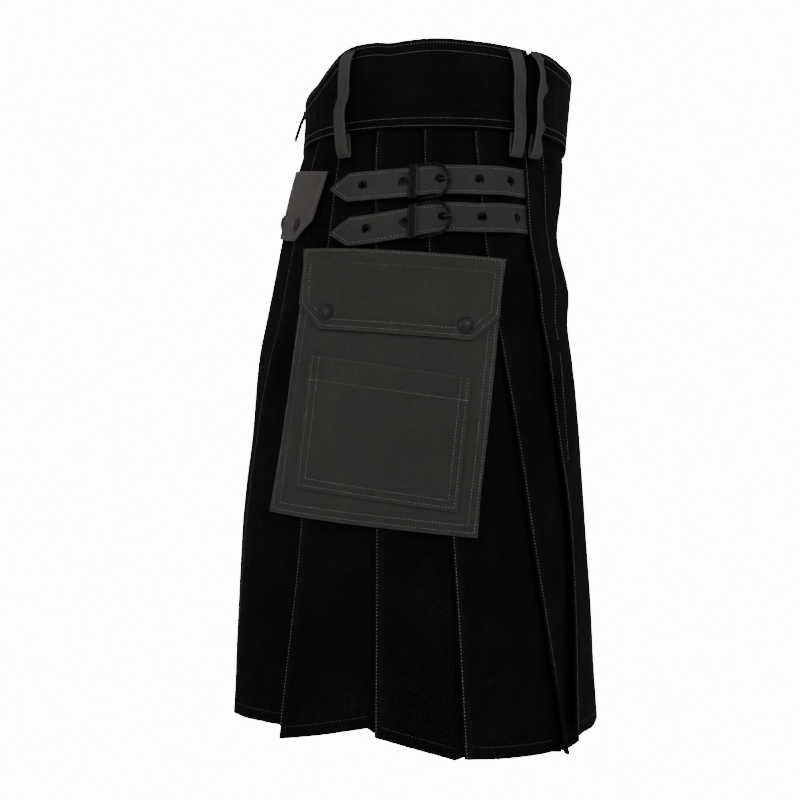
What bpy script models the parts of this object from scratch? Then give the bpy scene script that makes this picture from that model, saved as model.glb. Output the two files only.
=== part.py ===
# Utility kilt, worn form with no wearer: pleated skirt, aprons, waistband, straps and pockets.
# Front is -Y, the wearer's right is -X, +Z is up.
# z = 0 is the belt line, near the middle of the waistband.
# Sizes in the tables are millimetres and degrees; points are turned into metres in one place, skin().

import math
from collections import namedtuple

import bmesh
import bpy
from mathutils import Matrix, Vector

MM = 0.001
SEAM = 0.3            # gap kept between pieces that are sewn or laid on each other
RIGHT, LEFT = 1, -1   # the wearer's right and left hip

# Cloth walls
CLOTH = 1.2           # one layer of the black twill
APRON = 1.5           # apron with its turned edge
BAND = 3.0            # waistband, folded double over its stiffening
TRIM = 1.6            # grey pocket cloth
LOOP = 1.8            # belt loop, folded double

# How far the outer face of each layer lies outside the form
OUT_FOLD = 5.0        # folded edge of every pleat
OUT_BAND = 4.0
OUT_BAND_APRON = OUT_BAND + BAND + 0.4
OUT_POCKET = OUT_FOLD + 0.5 + TRIM
OUT_PATCH = OUT_POCKET + 0.4 + TRIM
OUT_FLAP = OUT_PATCH + 0.6
OUT_BACK_FLAP = OUT_FOLD + 0.5 + TRIM

# Heights
SEAM_LINE = -42.0     # lower seam of the waistband
BAND_TILT = 0.5       # how far the tilted inner rim of the band hangs below its seam line
STITCH_TOP = SEAM_LINE - BAND_TILT - SEAM

# Turns at which the three waistbands end
BAND_SPLIT = 44.0     # the under-apron's waistband meets the main one here
BAND_SEAM = 0.3
BAND_APRON_EDGE = 33.0

# Plan of the garment at each height: half width at the side, depth to back and front, squareness
Level = namedtuple("Level", "height side back front square")
FORM = (
    Level(60, 146, 118, 130, 2.3),
    Level(-40, 150, 120.5, 121, 2.3),
    Level(-90, 160, 131.5, 117.5, 2.4),
    Level(-130, 168, 139.5, 113.5, 2.5),
    Level(-178, 177, 148, 122, 2.6),
    Level(-208, 182, 154, 121, 2.6),
    Level(-240, 187, 159.5, 125.5, 2.7),
    Level(-315, 194, 166, 133, 2.7),
    Level(-350, 196.5, 170.5, 135.5, 2.65),
    Level(-400, 199, 175.5, 138, 2.6),
    Level(-500, 204, 179.5, 144, 2.6),
    Level(-590, 208, 180, 149.5, 2.6),
)

# Upper edge of the waistband, by the turn round the waist (0 right hip, 90 front, -90 back)
Rim = namedtuple("Rim", "turn height")
BAND_TOP = (Rim(-90, 3), Rim(-70, 5), Rim(-58, 7.5), Rim(-51, 10), Rim(-42, 20.4), Rim(-35, 30),
            Rim(-29, 34), Rim(-20, 34.4), Rim(-15, 33), Rim(-10, 34.2), Rim(0, 36), Rim(15, 34),
            Rim(30, 31.5), Rim(42, 30.3), Rim(52, 26.5), Rim(62, 25.3), Rim(90, 22.5))

# Turn of each folded edge at the heights of FOLD_HEIGHTS, then its hem at the fold and at the
# far end of its panel, and how far the fold swings outward at the hem
FOLD_HEIGHTS = (-60, -150, -230, -310, -405, -570)
Fold = namedtuple("Fold", "name turns hem hem_front lift")
FOLDS = (
    Fold("apron", (30.1, 30.0, 32.2, 34.4, 40.0, 37.0), -566, -569, 2),
    Fold("d", (12.5, 13.8, 16.7, 20.3, 24.5, 32.4), -578, -579, 3.5),
    Fold("c", (-3.9, -2.3, -0.4, 1.6, 3.8, 6.1), -573, -577, 2),
    Fold("b", (-19.4, -17.1, -16.1, -15.2, -14.4, -14.0), -556, -578, 1),
    Fold("a", (-33.3, -32.1, -32.3, -32.5, -33.6, -37.6), -565, -549, 3),
    Fold("g", (-48.2, -49.3, -50.5, -57.3, -62.2, -66.1), -563, -556, 4.5),
    Fold("h", (-66.5, -67.5, -69.0, -73.0, -75.5, -78.5), -567, -564, 3),
    Fold("back", (-88.0, -88.0, -88.2, -88.4, -88.6, -88.7), -567, -566, 1),
)
PLEAT_ROWS = (STITCH_TOP, -60, -85, -110, -135, -178, -240, -315, -400, -480, -570)
PLEAT_GAP_TOP = 2.1   # from layer to layer of a pleat, at the waist and at the hem
PLEAT_GAP_HEM = 4.2
TUCK, TUCK_END = 1.6, -60.0
SWING_FROM = 0.68     # share of the skirt's length above which the folds lie flat
HIDDEN = 0.45         # share of a panel that lies folded under its neighbour
LAP = 9.0             # turn by which the hip panels run on under the over-apron
STRAP_ROOM = 1.0      # extra depth of those panels there, for the straps
UNDER_DROP = 2.4      # how far inside them the under-apron hangs

# Belt loops: the run down the loop as height and distance outside the waistband
Bend = namedtuple("Bend", "height out")
LOOP_RUN = (Bend(30, 0.35), Bend(22, 0.5), Bend(17, 5.6), Bend(6, 8.6), Bend(-12, 7.4),
            Bend(-32, 8.4), Bend(-52, 8.8), Bend(-62, 7.6), Bend(-66, 4.8), Bend(-60, 2.7),
            Bend(-44, 2.3))
LOOP_WIDTH = 12.0
# Tab that hangs free at the middle of the back
TAB_RUN = (Bend(2, 0.35), Bend(-2, 0.5), Bend(-10, 3.8), Bend(-26, 8.4))
# and the turn of each loop by height, as it leans and waves
LOOP_TURNS = {
    "hip_back": ((30, -30.7), (-10, -30.9), (-22, -32.4), (-38, -31.7), (-66, -29.3)),
    "hip_front": ((30, 27.0), (-20, 27.4), (-45, 26.9), (-66, 25.4)),
    "apron": ((30, 35.2), (8, 36.6), (-18, 35.8), (-45, 34.6), (-66, 31.9)),
    "back": ((30, -90.0), (-66, -90.0)),
}

# Hip straps: centre line as turn and height
Station = namedtuple("Station", "turn height")
STRAPS = {
    "upper": (Station(35, -88.0), Station(23.3, -88.0), Station(12.6, -88.9), Station(1, -89.1),
              Station(-9.5, -91.7), Station(-21.6, -93.3), Station(-32.9, -94.0)),
    "lower": (Station(35, -119.8), Station(25.1, -120.1), Station(12.8, -122.0),
              Station(1.7, -122.1), Station(-8.8, -127.2), Station(-19.4, -131.9),
              Station(-30.7, -133.9)),
}
EYELET_STATIONS = (1, 2, 3, 4, 5)
STRAP_WIDTH = 25.0
STRAP = 1.8
STRAP_TIP = 19.0
OUT_STRAP_UNDER = 2.9     # outer face where the strap lies under the apron edge
OUT_STRAP = 9.4           # and where it passes over the buckle bar and the folded edges
STRAP_RISE, STRAP_TOP = 28.6, 16.0   # turns between which the strap climbs over the fold
EYELET_OUTER, EYELET_HOLE, EYELET_RISE = 4.6, 2.3, 0.5
ANCHOR = 1.4
ANCHOR_REACH = 34.0
BUCKLE_WIRE = 1.0         # wire radius
BUCKLE_WIDTH = 31.0
BUCKLE_STRAIGHT = 0.42    # share of the buckle's length before its half round starts
BAR_TURN, TIP_TURN = -4.7, 4.6       # buckle bar and the far side of the buckle frame
OUT_BAR = OUT_FOLD + 0.35 + BUCKLE_WIRE
OUT_FRAME = OUT_STRAP + 0.5 + BUCKLE_WIRE
PRONG_WIRE = 0.8
KEEPER, KEEPER_WIDTH = 1.3, 7.4

# Cargo pocket corners on the hip: turn and height
CARGO = {"top_back": Station(-39.7, -145.2), "top_front": Station(19.2, -157.7),
         "low_back": Station(-43.8, -373.5), "low_front": Station(9.3, -391.8)}
# Shapes on the cargo pocket: a row for each level, from its back edge to its front edge
Row = namedtuple("Row", "down back front")
CARGO_BODY_ROWS = [Row(0.0, 0.004, 1.0), Row(0.14, 0.008, 0.996), Row(0.28, 0.01, 0.996),
                   Row(0.42, 0.013, 0.997), Row(0.57, 0.017, 0.998), Row(0.7, 0.017, 0.996),
                   Row(0.85, 0.008, 0.993), Row(1.0, 0.0, 1.0)]
CARGO_FLAP_ROWS = [Row(0.0, -0.005, 0.998), Row(0.07, 0.008, 0.992), Row(0.14, 0.011, 0.989),
                   Row(0.215, 0.014, 0.994), Row(0.26, 0.077, 0.936), Row(0.305, 0.138, 0.878)]
CARGO_SNAPS = ((0.241, 0.161), (0.254, 0.832))
# Patch pocket corners on the cargo pocket: turn and height
PATCH = {"top_back": Station(-32.2, -238.6), "top_front": Station(8.3, -259.1),
         "low_back": Station(-34.6, -351.3), "low_front": Station(4.6, -370.6)}
PATCH_BODY_ROWS = [Row(i / 4, 0.0, 1.0) for i in range(5)]

# Back pocket flap: rows of height with the turns of its two sides; it rises toward the back
BackRow = namedtuple("BackRow", "height back front")
BACK_FLAP_ROWS = (BackRow(-76, -80.5, -36.4), BackRow(-90, -80.3, -37.3), BackRow(-105, -80, -38.4),
                  BackRow(-120.5, -79.5, -39.6), BackRow(-130.5, -75.6, -43.7),
                  BackRow(-140.5, -71.5, -47.9))
BACK_TILT, BACK_TILT_FROM = 0.4, -36.5    # rise for each degree of turn
BACK_SNAPS = (Station(-48.6, -124.8), Station(-70.5, -124.8))
SNAP_RADIUS, SNAP_RISE = 7.0, 2.6


# Colours of the cloths and the metal
def material(name, colour, roughness, metallic=0.0):
    made = bpy.data.materials.new(name)
    made.use_nodes = True
    shader = made.node_tree.nodes["Principled BSDF"]
    shader.inputs["Base Color"].default_value = (*colour, 1.0)
    shader.inputs["Roughness"].default_value = roughness
    shader.inputs["Metallic"].default_value = metallic
    made.diffuse_color = (*colour, 1.0)
    return made


# Smooth curve through the rows of a table
def smooth(knots, values, at):
    pairs = sorted(zip(knots, values))
    xs = [p[0] for p in pairs]
    ys = [p[1] for p in pairs]
    if at <= xs[0]:
        return ys[0]
    if at >= xs[-1]:
        return ys[-1]
    i = max(k for k in range(len(xs) - 1) if xs[k] <= at)

    def slope(k):
        lo, hi = max(k - 1, 0), min(k + 1, len(xs) - 1)
        return (ys[hi] - ys[lo]) / (xs[hi] - xs[lo])

    span = xs[i + 1] - xs[i]
    t = (at - xs[i]) / span
    return ((2 * t**3 - 3 * t**2 + 1) * ys[i] + (t**3 - 2 * t**2 + t) * span * slope(i)
            + (3 * t**2 - 2 * t**3) * ys[i + 1] + (t**3 - t**2) * span * slope(i + 1))


def form_value(column, height):
    return smooth([level.height for level in FORM], [getattr(level, column) for level in FORM], height)


# A point of the garment: turn round the body, height, and distance outside the form
def skin(turn, height, out, hip=RIGHT):
    c, s = math.cos(math.radians(turn)), math.sin(math.radians(turn))
    side = form_value("side", height) + out
    depth = form_value("front" if s > 0 else "back", height) + out
    power = form_value("square", height)
    reach = ((abs(c) / side) ** power + (abs(s) / depth) ** power) ** (-1 / power)
    return Vector((-reach * c * hip, -reach * s, height)) * MM


def band_top(turn):
    if turn > 90:
        turn = 180 - turn
    if turn < -90:
        turn = -180 - turn
    return smooth([rim.turn for rim in BAND_TOP], [rim.height for rim in BAND_TOP], turn)


def fold_turn(fold, height):
    return smooth(FOLD_HEIGHTS, fold.turns, height)


# How far down the skirt a height is, 0 at the waist seam and 1 at the hem
def fall(height):
    return min(max((STITCH_TOP - height) / (STITCH_TOP - PLEAT_ROWS[-1]), 0.0), 1.0)


# The skirt is drawn in where its top edge is sewn to the waistband
def tuck(height):
    return TUCK * min(max((height - TUCK_END) / (STITCH_TOP - TUCK_END), 0.0), 1.0)


def pleat_gap(height):
    return PLEAT_GAP_TOP + (PLEAT_GAP_HEM - PLEAT_GAP_TOP) * fall(height) ** 1.3


# Below the cargo pockets the folded edges swing outward
def fold_lift(fold, height):
    return fold.lift * max(0.0, (fall(height) - SWING_FROM) / (1 - SWING_FROM)) ** 1.5


def put(name, mesh, mat, collection):
    mesh.materials.append(mat)
    thing = bpy.data.objects.new(name, mesh)
    collection.objects.link(thing)
    return thing


# A cloth wall: a sheet of points, rows by columns, given its thickness by Solidify
def wall(name, rows, thickness, mat, collection, centred=False, ring=False):
    sheet = bmesh.new()
    points = [[sheet.verts.new(p) for p in row] for row in rows]
    count = len(points[0])
    for upper, lower in zip(points, points[1:]):
        for i in range(count if ring else count - 1):
            j = (i + 1) % count
            sheet.faces.new((upper[i], upper[j], lower[j], lower[i]))
    sheet.normal_update()
    outward = sum(face.calc_area() * (face.normal.x * face.calc_center_median().x
                                      + face.normal.y * face.calc_center_median().y)
                  for face in sheet.faces)
    if outward < 0:
        bmesh.ops.reverse_faces(sheet, faces=sheet.faces)
    mesh = bpy.data.meshes.new(name)
    sheet.to_mesh(mesh)
    sheet.free()
    thing = put(name, mesh, mat, collection)
    solid = thing.modifiers.new("Cloth", "SOLIDIFY")
    solid.thickness = thickness * MM
    solid.offset = 0.0 if centred else -1.0
    return thing


# One hip's pleated section at a height, from under the apron edge to the middle of the back,
# as turn, distance outside the form and share of the panel for the hem
def pleat_section(height):
    section = []
    gap = pleat_gap(height)
    step = 2 * gap
    for front, fold in zip(FOLDS, FOLDS[1:]):
        turn_front, turn_fold = fold_turn(front, height), fold_turn(fold, height)
        width = turn_front - turn_fold
        lift = fold_lift(fold, height)
        centre = OUT_FOLD - tuck(height) - CLOTH / 2

        def depth(share):
            return centre + lift * max(0.0, 1 - 1.6 * share) - (step * min(share, 1.45))

        def at(share, layer):
            section.append((turn_fold + share * width, depth(share) - layer * gap,
                            fold, min(share, 1.0)))

        if front is FOLDS[0]:
            section.append((turn_front + LAP, centre - step - STRAP_ROOM, fold, 1.0))
            section.append((turn_front + 0.08 * width, centre - step - STRAP_ROOM, fold, 1.0))
        for share in (1.0, 0.72, 0.44, 0.18):
            if not (share == 1.0 and front is not FOLDS[0]):
                at(share, 0)
        bend = min(0.07, 2.2 / max(width, 1.0))
        at(bend, 0)
        at(0.0, 0.5)
        at(bend, 1)
        at(HIDDEN - 0.05, 1)
        at(HIDDEN, 1.5)
        at(HIDDEN - 0.05, 2)
        if fold is FOLDS[-1]:
            section = section[:-1]
            section.append((-90.0, section[-1][1] - 0.4 * gap, fold, 0.0))
        else:
            at(0.0, 2)
    return section


def build_pleats(mat, collection):
    rows = []
    for height in PLEAT_ROWS:
        section = pleat_section(height)
        share_down = fall(height)
        row = []
        for turn, out, fold, share in section:
            hem = fold.hem + (fold.hem_front - fold.hem) * share
            level = STITCH_TOP + (hem - STITCH_TOP) * share_down
            row.append((turn, out, level))
        right = [skin(t, h, o) for t, o, h in row]
        left = [skin(t, h, o, LEFT) for t, o, h in row]
        rows.append(right + left[-2::-1])
    wall("skirt_pleats", rows, CLOTH, mat, collection, centred=True)


def spread(start, end, count):
    return [start + (end - start) * i / count for i in range(count + 1)]


# Over-apron: from its open edge on the right hip across the front to the left hip
def build_over_apron(mat, collection):
    edge = FOLDS[0]
    rows = []
    for height in PLEAT_ROWS:
        start = fold_turn(edge, height)
        row = []
        for share in [0, 0.04, 0.1] + spread(0.18, 0.5, 5):
            turn = start + (90 - start) * share * 2
            near_edge = max(0.0, 1 - share / 0.1)
            hem = edge.hem + (edge.hem_front - edge.hem) * min(1.0, share * 3)
            level = STITCH_TOP + (hem - STITCH_TOP) * fall(height)
            row.append((turn, level, OUT_FOLD - tuck(height) + fold_lift(edge, height) * near_edge))
        right = [skin(*p) for p in row]
        left = [skin(*p, LEFT) for p in row]
        rows.append(right + left[-2::-1])
    wall("apron_over", rows, APRON, mat, collection)


# Under-apron: plain, its two ends lapped inside the hip panels
def build_under_apron(mat, collection):
    edge = FOLDS[0]
    rows = []
    for height in PLEAT_ROWS:
        start = fold_turn(edge, height) + 0.45 * LAP
        out = OUT_FOLD - tuck(height) - 2 * pleat_gap(height) - CLOTH - UNDER_DROP
        level = STITCH_TOP + (edge.hem + 6 - STITCH_TOP) * fall(height)
        turns = spread(start, 180 - start, 14)
        rows.append([skin(turn, level, out) for turn in turns])
    wall("apron_under", rows, CLOTH, mat, collection)


def band_rows(turns, out):
    rows = []
    for share in (0, 0.5, 1):
        rows.append([skin(turn, SEAM_LINE + (band_top(turn) - SEAM_LINE) * (1 - share), out)
                     for turn in turns])
    return rows


def build_waistbands(mat, collection):
    main = spread(BAND_SPLIT, -180 - BAND_SPLIT, 40)
    wall("waistband_main", band_rows(main, OUT_BAND), BAND, mat, collection)
    inner = spread(BAND_SPLIT + BAND_SEAM, 180 - BAND_SPLIT - BAND_SEAM, 14)
    wall("waistband_under", band_rows(inner, OUT_BAND), BAND, mat, collection)
    outer = spread(BAND_APRON_EDGE, 180 - BAND_APRON_EDGE, 18)
    wall("waistband_apron", band_rows(outer, OUT_BAND_APRON), BAND, mat, collection)


# Turn that a length along the surface takes up at a height
def turn_for(length, turn, height, out):
    step = 0.5
    chord = (skin(turn + step, height, out) - skin(turn - step, height, out)).length / MM
    return length / chord * 2 * step


def belt_loop(name, turns, band_out, run, mat, collection, hip=RIGHT):
    rows = []
    for bend in run:
        height, out = bend.height, band_out + bend.out + LOOP / 2
        turn = smooth([knot[0] for knot in turns], [knot[1] for knot in turns], height)
        half = turn_for(LOOP_WIDTH / 2, turn, height, out)
        rows.append([skin(turn + part * half, height, out, hip) for part in (-1, 0, 1)])
    wall(name, rows, LOOP, mat, collection, centred=True)


def build_loops(mat, tab_mat, collection):
    for hip, side in ((RIGHT, "right"), (LEFT, "left")):
        for place in ("hip_back", "hip_front", "apron"):
            out = OUT_BAND_APRON if place == "apron" else OUT_BAND
            belt_loop(f"belt_loop_{place}_{side}", LOOP_TURNS[place], out, LOOP_RUN, mat,
                      collection, hip)
    belt_loop("back_tab", LOOP_TURNS["back"], OUT_BAND, TAB_RUN, tab_mat, collection)


def strap_height(stations, turn):
    return smooth([s.turn for s in stations], [s.height for s in stations], turn)


# Outer face of a strap: under the apron edge, then up over the first folded edge
def strap_out(turn):
    if turn >= STRAP_RISE:
        return OUT_STRAP_UNDER
    if turn <= STRAP_TOP:
        return OUT_STRAP
    t = (STRAP_RISE - turn) / (STRAP_RISE - STRAP_TOP)
    return OUT_STRAP_UNDER + (OUT_STRAP - OUT_STRAP_UNDER) * t


def strap_frame(stations, turn, hip, out=None):
    height = strap_height(stations, turn)
    face = strap_out(turn) if out is None else out
    middle = skin(turn, height, face, hip)
    ahead = skin(turn - 0.5, strap_height(stations, turn - 0.5), face, hip)
    along = (ahead - middle).normalized()
    up = (skin(turn, height + 1, face, hip) - skin(turn, height - 1, face, hip)).normalized()
    outward = along.cross(up).normalized()
    if outward.dot(Vector((middle.x, middle.y, 0))) < 0:
        outward.negate()
    return middle, along, up, outward


# A ring or disc turned round its own axis, from a profile of radius and height, outer side down
def turned(name, profile, sides, frame, mat, collection):
    outline = bmesh.new()
    points = [outline.verts.new((r * MM, 0, h * MM)) for r, h in profile]
    for one, two in zip(points, points[1:]):
        outline.edges.new((one, two))
    if profile[0][0] > 0 and profile[-1][0] > 0:
        outline.edges.new((points[-1], points[0]))
    mesh = bpy.data.meshes.new(name)
    outline.to_mesh(mesh)
    outline.free()
    thing = put(name, mesh, mat, collection)
    screw = thing.modifiers.new("Turn", "SCREW")
    screw.steps = screw.render_steps = sides
    screw.use_merge_vertices = True
    screw.merge_threshold = 0.00001
    thing.matrix_world = frame
    return thing


def frame_matrix(origin, along, up, outward):
    matrix = Matrix((along, up, outward)).transposed().to_4x4()
    if matrix.to_3x3().determinant() < 0:
        matrix = Matrix((-along, up, outward)).transposed().to_4x4()
    matrix.translation = origin
    return matrix


def cut_or_join(thing, tool, operation):
    change = thing.modifiers.new(operation.title(), "BOOLEAN")
    change.operation = operation
    change.object = tool


def build_straps(strap_mat, metal_mat, collection, cutters):
    for level, stations in STRAPS.items():
        for hip, side in ((RIGHT, "right"), (LEFT, "left")):
            name = f"strap_{level}_{side}"
            first, last = stations[0].turn, stations[-1].turn
            tip_start = last + turn_for(STRAP_TIP, last, stations[-1].height, OUT_STRAP)
            rows = []
            turns = [first, STRAP_RISE + 3] + spread(STRAP_RISE, tip_start, 17)
            turns += [(tip_start + last) / 2, last]
            for turn in turns:
                narrow = max(0.0, (tip_start - turn) / (tip_start - last))
                half = STRAP_WIDTH / 2 * (1 - 0.9 * narrow)
                height = strap_height(stations, turn)
                rows.append([skin(turn, height + part * half, strap_out(turn), hip)
                             for part in (1, 0, -1)])
            strap = wall(name, rows, STRAP, strap_mat, collection)
            rims, holes = [], []
            for number in EYELET_STATIONS:
                frame = frame_matrix(*strap_frame(stations, stations[number].turn, hip))
                rims.append(turned(f"{name}_rim_{number}",
                                   ((0, EYELET_RISE), (EYELET_OUTER - 0.8, EYELET_RISE),
                                    (EYELET_OUTER, -0.3), (EYELET_OUTER - 0.6, -STRAP * 0.6),
                                    (0, -STRAP * 0.6)), 9, frame, metal_mat, cutters))
                holes.append(turned(f"{name}_hole_{number}",
                                    ((0, 2.0), (EYELET_HOLE, 2.0), (EYELET_HOLE, -4.0), (0, -4.0)),
                                    7, frame, metal_mat, cutters))
            for rim in rims:
                cut_or_join(strap, rim, "UNION")
            for hole in holes:
                cut_or_join(strap, hole, "DIFFERENCE")
            build_buckle(level, side, stations, hip, strap_mat, metal_mat, collection)


def wire(name, points, radius, closed, mat, collection):
    curve = bpy.data.curves.new(name, "CURVE")
    curve.dimensions = "3D"
    curve.bevel_depth = radius * MM
    curve.bevel_resolution = 1
    curve.use_fill_caps = not closed
    spline = curve.splines.new("POLY")
    spline.points.add(len(points) - 1)
    for place, point in zip(spline.points, points):
        place.co = (*point, 1.0)
    spline.use_cyclic_u = closed
    curve.materials.append(mat)
    thing = bpy.data.objects.new(name, curve)
    collection.objects.link(thing)
    return thing


# Buckle: wire frame whose bar lies under the strap, a prong, a keeper band and the anchor tab
def build_buckle(level, side, stations, hip, cloth, metal, collection):
    def spot(turn, across, out):
        return skin(turn, strap_height(stations, turn) + across, out, hip)

    # D shape: the bar, two straight sides and a half round
    half = BUCKLE_WIDTH / 2
    outline = [(0.0, 1.0), (0.22, 1.0)]
    outline += [(BUCKLE_STRAIGHT + (1 - BUCKLE_STRAIGHT) * math.cos(math.radians(a)),
                 math.sin(math.radians(a))) for a in (90, 65, 42, 20, 0, -20, -42, -65, -90)]
    outline += [(0.22, -1.0), (0.0, -1.0)]
    rim = []
    for share, across in outline:
        turn = BAR_TURN + (TIP_TURN - BAR_TURN) * share
        climb = min(1.0, share / BUCKLE_STRAIGHT)
        rim.append(spot(turn, half * across, OUT_BAR + (OUT_FRAME - OUT_BAR) * climb))
    wire(f"buckle_{level}_{side}", rim, BUCKLE_WIRE, True, metal, collection)

    eye = stations[3].turn
    prong = [spot(BAR_TURN + 1.5, 0, OUT_BAR - 0.1), spot(eye - 0.5, 0, OUT_BAR + 0.1),
             spot(eye - 0.1, 0, OUT_STRAP - 1.2), spot(eye + 0.2, 0, OUT_STRAP + 0.6),
             spot(eye + 0.7, 0, OUT_FRAME + 0.8), spot(TIP_TURN - 0.6, 0, OUT_FRAME + 2.2),
             spot(TIP_TURN + 0.6, 0, OUT_FRAME + 2.2)]
    wire(f"prong_{level}_{side}", prong, PRONG_WIRE, False, metal, collection)

    keep = BAR_TURN - 1.9
    half_keep = turn_for(KEEPER_WIDTH / 2, keep, stations[4].height, OUT_STRAP)
    over, reach = OUT_STRAP + EYELET_RISE + 0.55 + KEEPER, STRAP_WIDTH / 2 + 0.9 + KEEPER
    foot = OUT_FOLD + 2.1
    arch = ((reach, foot), (reach, over - 0.9), (reach - 0.9, over), (0, over),
            (-reach + 0.9, over), (-reach, over - 0.9), (-reach, foot))
    rows = [[spot(keep + part * half_keep, across, out) for part in (-1, 1)]
            for across, out in arch]
    wall(f"keeper_{level}_{side}", rows, KEEPER, metal, collection)

    back = keep - turn_for(ANCHOR_REACH, keep, stations[4].height, OUT_FOLD)
    rows = [[spot(turn, part * (STRAP_WIDTH / 2 - 1), OUT_FOLD + 0.4 + ANCHOR)
             for part in (1, 0, -1)] for turn in spread(BAR_TURN - 0.75, back, 5)]
    wall(f"anchor_{level}_{side}", rows, ANCHOR, cloth, collection)


# Turn of the point that lies a distance ahead of the hip line, in millimetres
def turn_ahead(ahead, height, out):
    side = form_value("side", height) + out
    depth = form_value("front" if ahead > 0 else "back", height) + out
    power = form_value("square", height)
    aside = side * (1 - (abs(ahead) / depth) ** power) ** (1 / power)
    return math.degrees(math.atan2(ahead, aside))


# A place between four corners on the hip: share down and share across from back to front.
# The edges between the corners are straight as seen from the side, because the canvas is stiff.
def pocket_place(corners, down, across):
    spots = {key: (-skin(*corner, OUT_POCKET).y / MM, corner.height)
             for key, corner in corners.items()}
    top = [spots["top_back"][i] * (1 - across) + spots["top_front"][i] * across for i in (0, 1)]
    low = [spots["low_back"][i] * (1 - across) + spots["low_front"][i] * across for i in (0, 1)]
    ahead, height = (top[i] * (1 - down) + low[i] * down for i in (0, 1))
    return turn_ahead(ahead, height, OUT_POCKET), height


def back_tilt(turn):
    return BACK_TILT * (BACK_TILT_FROM - turn)


def pocket_sheet(name, corners, rows, columns, out, mat, collection, hip):
    points = []
    for row in rows:
        shares = spread(row.back, row.front, columns)
        points.append([skin(*pocket_place(corners, row.down, share), out, hip) for share in shares])
    return wall(name, points, TRIM, mat, collection)


# Domed press stud, shown closed
def snap(name, turn, height, out, mat, collection, hip):
    middle = skin(turn, height, out + 0.1, hip)
    ahead = skin(turn - 0.5, height, out, hip)
    along = (ahead - middle).normalized()
    up = (skin(turn, height + 1, out, hip) - skin(turn, height - 1, out, hip)).normalized()
    outward = along.cross(up).normalized()
    if outward.dot(Vector((middle.x, middle.y, 0))) < 0:
        outward.negate()
    up = outward.cross(along) if outward.cross(along).dot(up) > 0 else along.cross(outward)
    profile = ((0, SNAP_RISE), (SNAP_RADIUS * 0.55, SNAP_RISE * 0.93),
               (SNAP_RADIUS * 0.9, SNAP_RISE * 0.6), (SNAP_RADIUS, 0.35), (0, 0.35))
    return turned(name, profile, 14, frame_matrix(middle, along, up, outward), mat, collection)


def build_pockets(body_mat, flap_mat, back_mat, metal, collection):
    for hip, side in ((RIGHT, "right"), (LEFT, "left")):
        pocket_sheet(f"cargo_pocket_{side}", CARGO, CARGO_BODY_ROWS, 12, OUT_POCKET, body_mat,
                     collection, hip)
        pocket_sheet(f"patch_pocket_{side}", PATCH, PATCH_BODY_ROWS, 10, OUT_PATCH, body_mat,
                     collection, hip)
        pocket_sheet(f"cargo_flap_{side}", CARGO, CARGO_FLAP_ROWS, 12, OUT_FLAP, flap_mat,
                     collection, hip)
        for place, (down, across) in zip(("back", "front"), CARGO_SNAPS):
            turn, height = pocket_place(CARGO, down, across)
            snap(f"snap_cargo_{place}_{side}", turn, height, OUT_FLAP, metal, collection, hip)
        rows = [[skin(turn, row.height + back_tilt(turn), OUT_BACK_FLAP, hip)
                 for turn in spread(row.back, row.front, 10)] for row in BACK_FLAP_ROWS]
        wall(f"back_flap_{side}", rows, TRIM, back_mat, collection)
        for place, station in zip(("outer", "inner"), BACK_SNAPS):
            snap(f"snap_back_{place}_{side}", station.turn, station.height + back_tilt(station.turn),
                 OUT_BACK_FLAP, metal, collection, hip)


def main():
    for thing in list(bpy.data.objects):
        bpy.data.objects.remove(thing, do_unlink=True)
    garment = bpy.data.collections.new("Utility kilt")
    cutters = bpy.data.collections.new("Cutters")
    for group in (garment, cutters):
        bpy.context.scene.collection.children.link(group)

    black = material("Black twill", (0.0035, 0.0035, 0.0038), 0.85)
    band = material("Waistband twill", (0.006, 0.006, 0.0055), 0.85)
    grey = material("Charcoal trim cloth", (0.023, 0.023, 0.021), 0.9)
    flap = material("Charcoal flap cloth", (0.026, 0.026, 0.023), 0.9)
    warm = material("Warm grey flap cloth", (0.055, 0.05, 0.046), 0.9)
    metal = material("Black metal", (0.012, 0.012, 0.012), 0.35, 0.8)

    build_pleats(black, garment)
    build_over_apron(black, garment)
    build_under_apron(black, garment)
    build_waistbands(band, garment)
    build_loops(grey, black, garment)
    build_straps(grey, metal, garment, cutters)
    build_pockets(grey, flap, warm, metal, garment)
    for tool in cutters.objects:
        tool.hide_render = True
        tool.display_type = "WIRE"


main()
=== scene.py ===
# Utility kilt, seen from the wearer's right hip. Front is -Y, the wearer's right is -X, +Z is up.
# Tables are in millimetres, and in degrees of turn round the body: 0 is the middle of the hip,
# 90 the middle of the front and -90 the middle of the back. skin() turns them into metres.

import math
import random

import bmesh
import bpy
import numpy as np
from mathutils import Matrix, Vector, noise


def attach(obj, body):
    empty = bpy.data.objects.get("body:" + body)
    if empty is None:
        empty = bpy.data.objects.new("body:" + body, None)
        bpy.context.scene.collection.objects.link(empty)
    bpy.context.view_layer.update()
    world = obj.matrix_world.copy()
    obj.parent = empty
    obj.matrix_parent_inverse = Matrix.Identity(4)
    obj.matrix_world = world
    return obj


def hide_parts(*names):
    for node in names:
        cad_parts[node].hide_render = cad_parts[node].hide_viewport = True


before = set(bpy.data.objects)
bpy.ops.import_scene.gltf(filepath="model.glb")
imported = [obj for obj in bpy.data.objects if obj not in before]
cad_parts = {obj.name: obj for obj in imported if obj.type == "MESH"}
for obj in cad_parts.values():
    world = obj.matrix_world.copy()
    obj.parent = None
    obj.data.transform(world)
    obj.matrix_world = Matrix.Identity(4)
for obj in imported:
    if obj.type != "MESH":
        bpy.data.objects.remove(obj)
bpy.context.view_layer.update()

MM = 0.001
RIGHT, LEFT = 1, -1
SIDES = ((RIGHT, "right"), (LEFT, "left"))

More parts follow.
